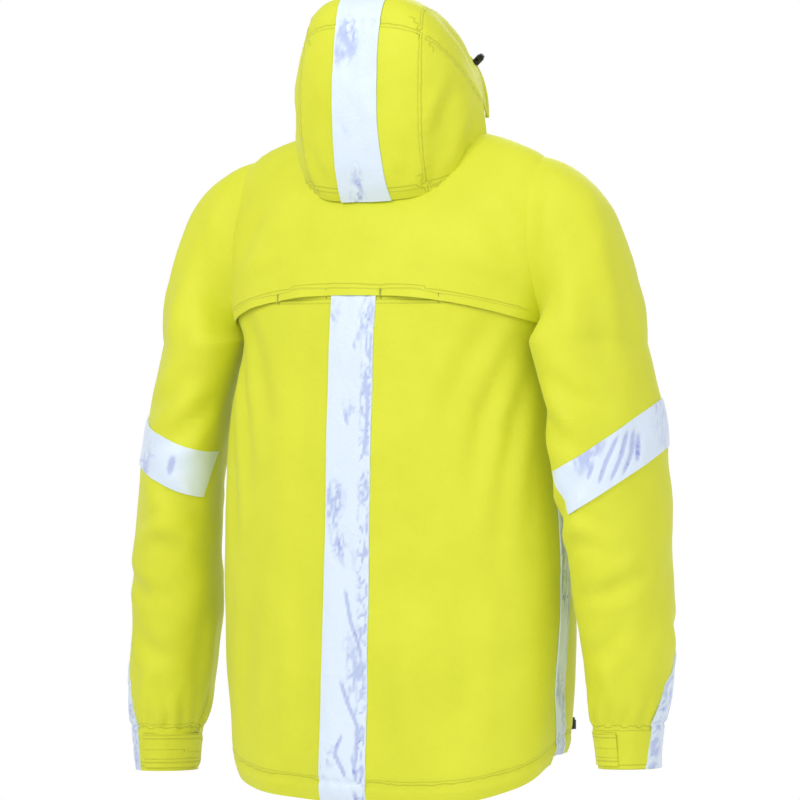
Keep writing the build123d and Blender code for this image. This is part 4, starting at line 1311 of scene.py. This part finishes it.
class JACKET_OT_trims(Operator):
    """Gives the modelled trims their finishes"""
    bl_idname = "jacket.trims"
    bl_label = "Trims"

    def execute(self, context):
        finish = {
            "hanger_loop": "webbing", "zip_slider_top": "enamel", "zip_slider_low": "enamel",
            "zip_puller_top": "enamel", "zip_puller_low": "enamel", "hood_toggles": "acetal",
            "hem_toggles": "acetal"}
        for side, _ in SIDES:
            finish.update({f"pocket_slider_{side}": "enamel", f"pocket_puller_{side}": "enamel",
                           f"hood_button_{side}": "acetal", f"hem_button_{side}": "acetal"})
        for name, kind in finish.items():
            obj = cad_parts[name]
            obj.data.materials.clear()
            obj.data.materials.append(FINISH[kind])
        return {"FINISHED"}


# the view: degrees round from the front, distance and width shown in metres
VIEW_TURN, VIEW_FAR, VIEW_WIDE = 207, 9.0, 1.04


class JACKET_OT_stage(Operator):
    """Sets the camera, the soft lights, the floor and the white surroundings"""
    bl_idname = "jacket.stage"
    bl_label = "Stage"

    def execute(self, context):
        scene = context.scene
        scene.view_settings.view_transform = "Standard"
        middle = spot(0, 0, 516)
        turn = math.radians(VIEW_TURN)
        eye = middle + Vector((math.sin(turn), -math.cos(turn), 0.0)) * VIEW_FAR
        camera = bpy.data.cameras.new("view")
        camera.sensor_width = 36
        camera.lens = camera.sensor_width * VIEW_FAR / VIEW_WIDE
        cam = bpy.data.objects.new("view", camera)
        cam.location = eye
        cam.rotation_euler = (middle - eye).to_track_quat("-Z", "Y").to_euler()
        scene.collection.objects.link(cam)
        scene.camera = cam
        right = Vector((-0.891, -0.454, 0))
        toward = (eye - middle).normalized()
        for name, at, size, power in (
                ("key", middle + toward * 2.2 + right * -1.5 + Vector((0, 0, 1.9)), 1.6, 44),
                ("fill", middle + toward * 2.4 + right * 1.9 + Vector((0, 0, 0.5)), 2.0, 17),
                ("front", middle - toward * 2.6 + right * 0.8 + Vector((0, 0, 1.6)), 2.0, 26)):
            light = bpy.data.lights.new(name, "AREA")
            light.energy = power
            light.size = size
            lamp = bpy.data.objects.new(name, light)
            lamp.location = at
            lamp.rotation_euler = (middle - at).to_track_quat("-Z", "Y").to_euler()
            scene.collection.objects.link(lamp)
        world = bpy.data.worlds.new("studio")
        scene.world = world
        world.use_nodes = True
        tree = world.node_tree
        back = tree.nodes["Background"]
        back.inputs["Color"].default_value = (1, 1, 1, 1)
        path = node(tree, "ShaderNodeLightPath")
        seen = node(tree, "ShaderNodeMath", {"operation": "MAXIMUM"},
                    {0: path.outputs["Is Camera Ray"], 1: path.outputs["Is Glossy Ray"]})
        seen = node(tree, "ShaderNodeMath", {"operation": "MAXIMUM"},
                    {0: seen.outputs[0], 1: path.outputs["Is Transmission Ray"]})
        strength = node(tree, "ShaderNodeMapRange", inputs={0: seen.outputs[0], 3: 0.62, 4: 1.0})
        tree.links.new(strength.outputs[0], back.inputs["Strength"])
        bpy.ops.mesh.primitive_plane_add(size=3.0, location=spot(0, 0, -330))
        floor = context.object
        floor.name = "studio_floor"
        made, tree, bsdf = material("matt_white_paper")
        bsdf.inputs["Base Color"].default_value = linear("#F2F2F0")
        bsdf.inputs["Roughness"].default_value = 0.9
        floor.data.materials.append(made)
        return {"FINISHED"}


OPERATORS = (JACKET_OT_finishes, JACKET_OT_stage, JACKET_OT_body, JACKET_OT_lining, JACKET_OT_fronts,
             JACKET_OT_yoke, JACKET_OT_sleeves, JACKET_OT_hood, JACKET_OT_tapes, JACKET_OT_collar,
             JACKET_OT_cuff_tabs, JACKET_OT_zips, JACKET_OT_pockets, JACKET_OT_trims)


class JACKET_PT_build(Panel):
    """Lists the jacket's pieces and sizes"""
    bl_label = "Foul weather jacket"
    bl_idname = "JACKET_PT_build"
    bl_space_type = "VIEW_3D"
    bl_region_type = "UI"
    bl_category = "Jacket"

    def draw(self, context):
        for group in (context.scene.jacket_sizes, context.scene.jacket_colours):
            for name in group.__annotations__:
                self.layout.prop(group, name)
        for operator in OPERATORS:
            self.layout.operator(operator.bl_idname)


CLASSES = (JacketSizes, JacketColours, *OPERATORS, JACKET_PT_build)


def register():
    for cls in CLASSES:
        bpy.utils.register_class(cls)
    bpy.types.Scene.jacket_sizes = PointerProperty(type=JacketSizes)
    bpy.types.Scene.jacket_colours = PointerProperty(type=JacketColours)


def unregister():
    del bpy.types.Scene.jacket_colours
    del bpy.types.Scene.jacket_sizes
    for cls in reversed(CLASSES):
        bpy.utils.unregister_class(cls)


def main():
    register()
    for operator in OPERATORS:
        group, name = operator.bl_idname.split(".")
        getattr(getattr(bpy.ops, group), name)()


if __name__ == "__main__":
    main()
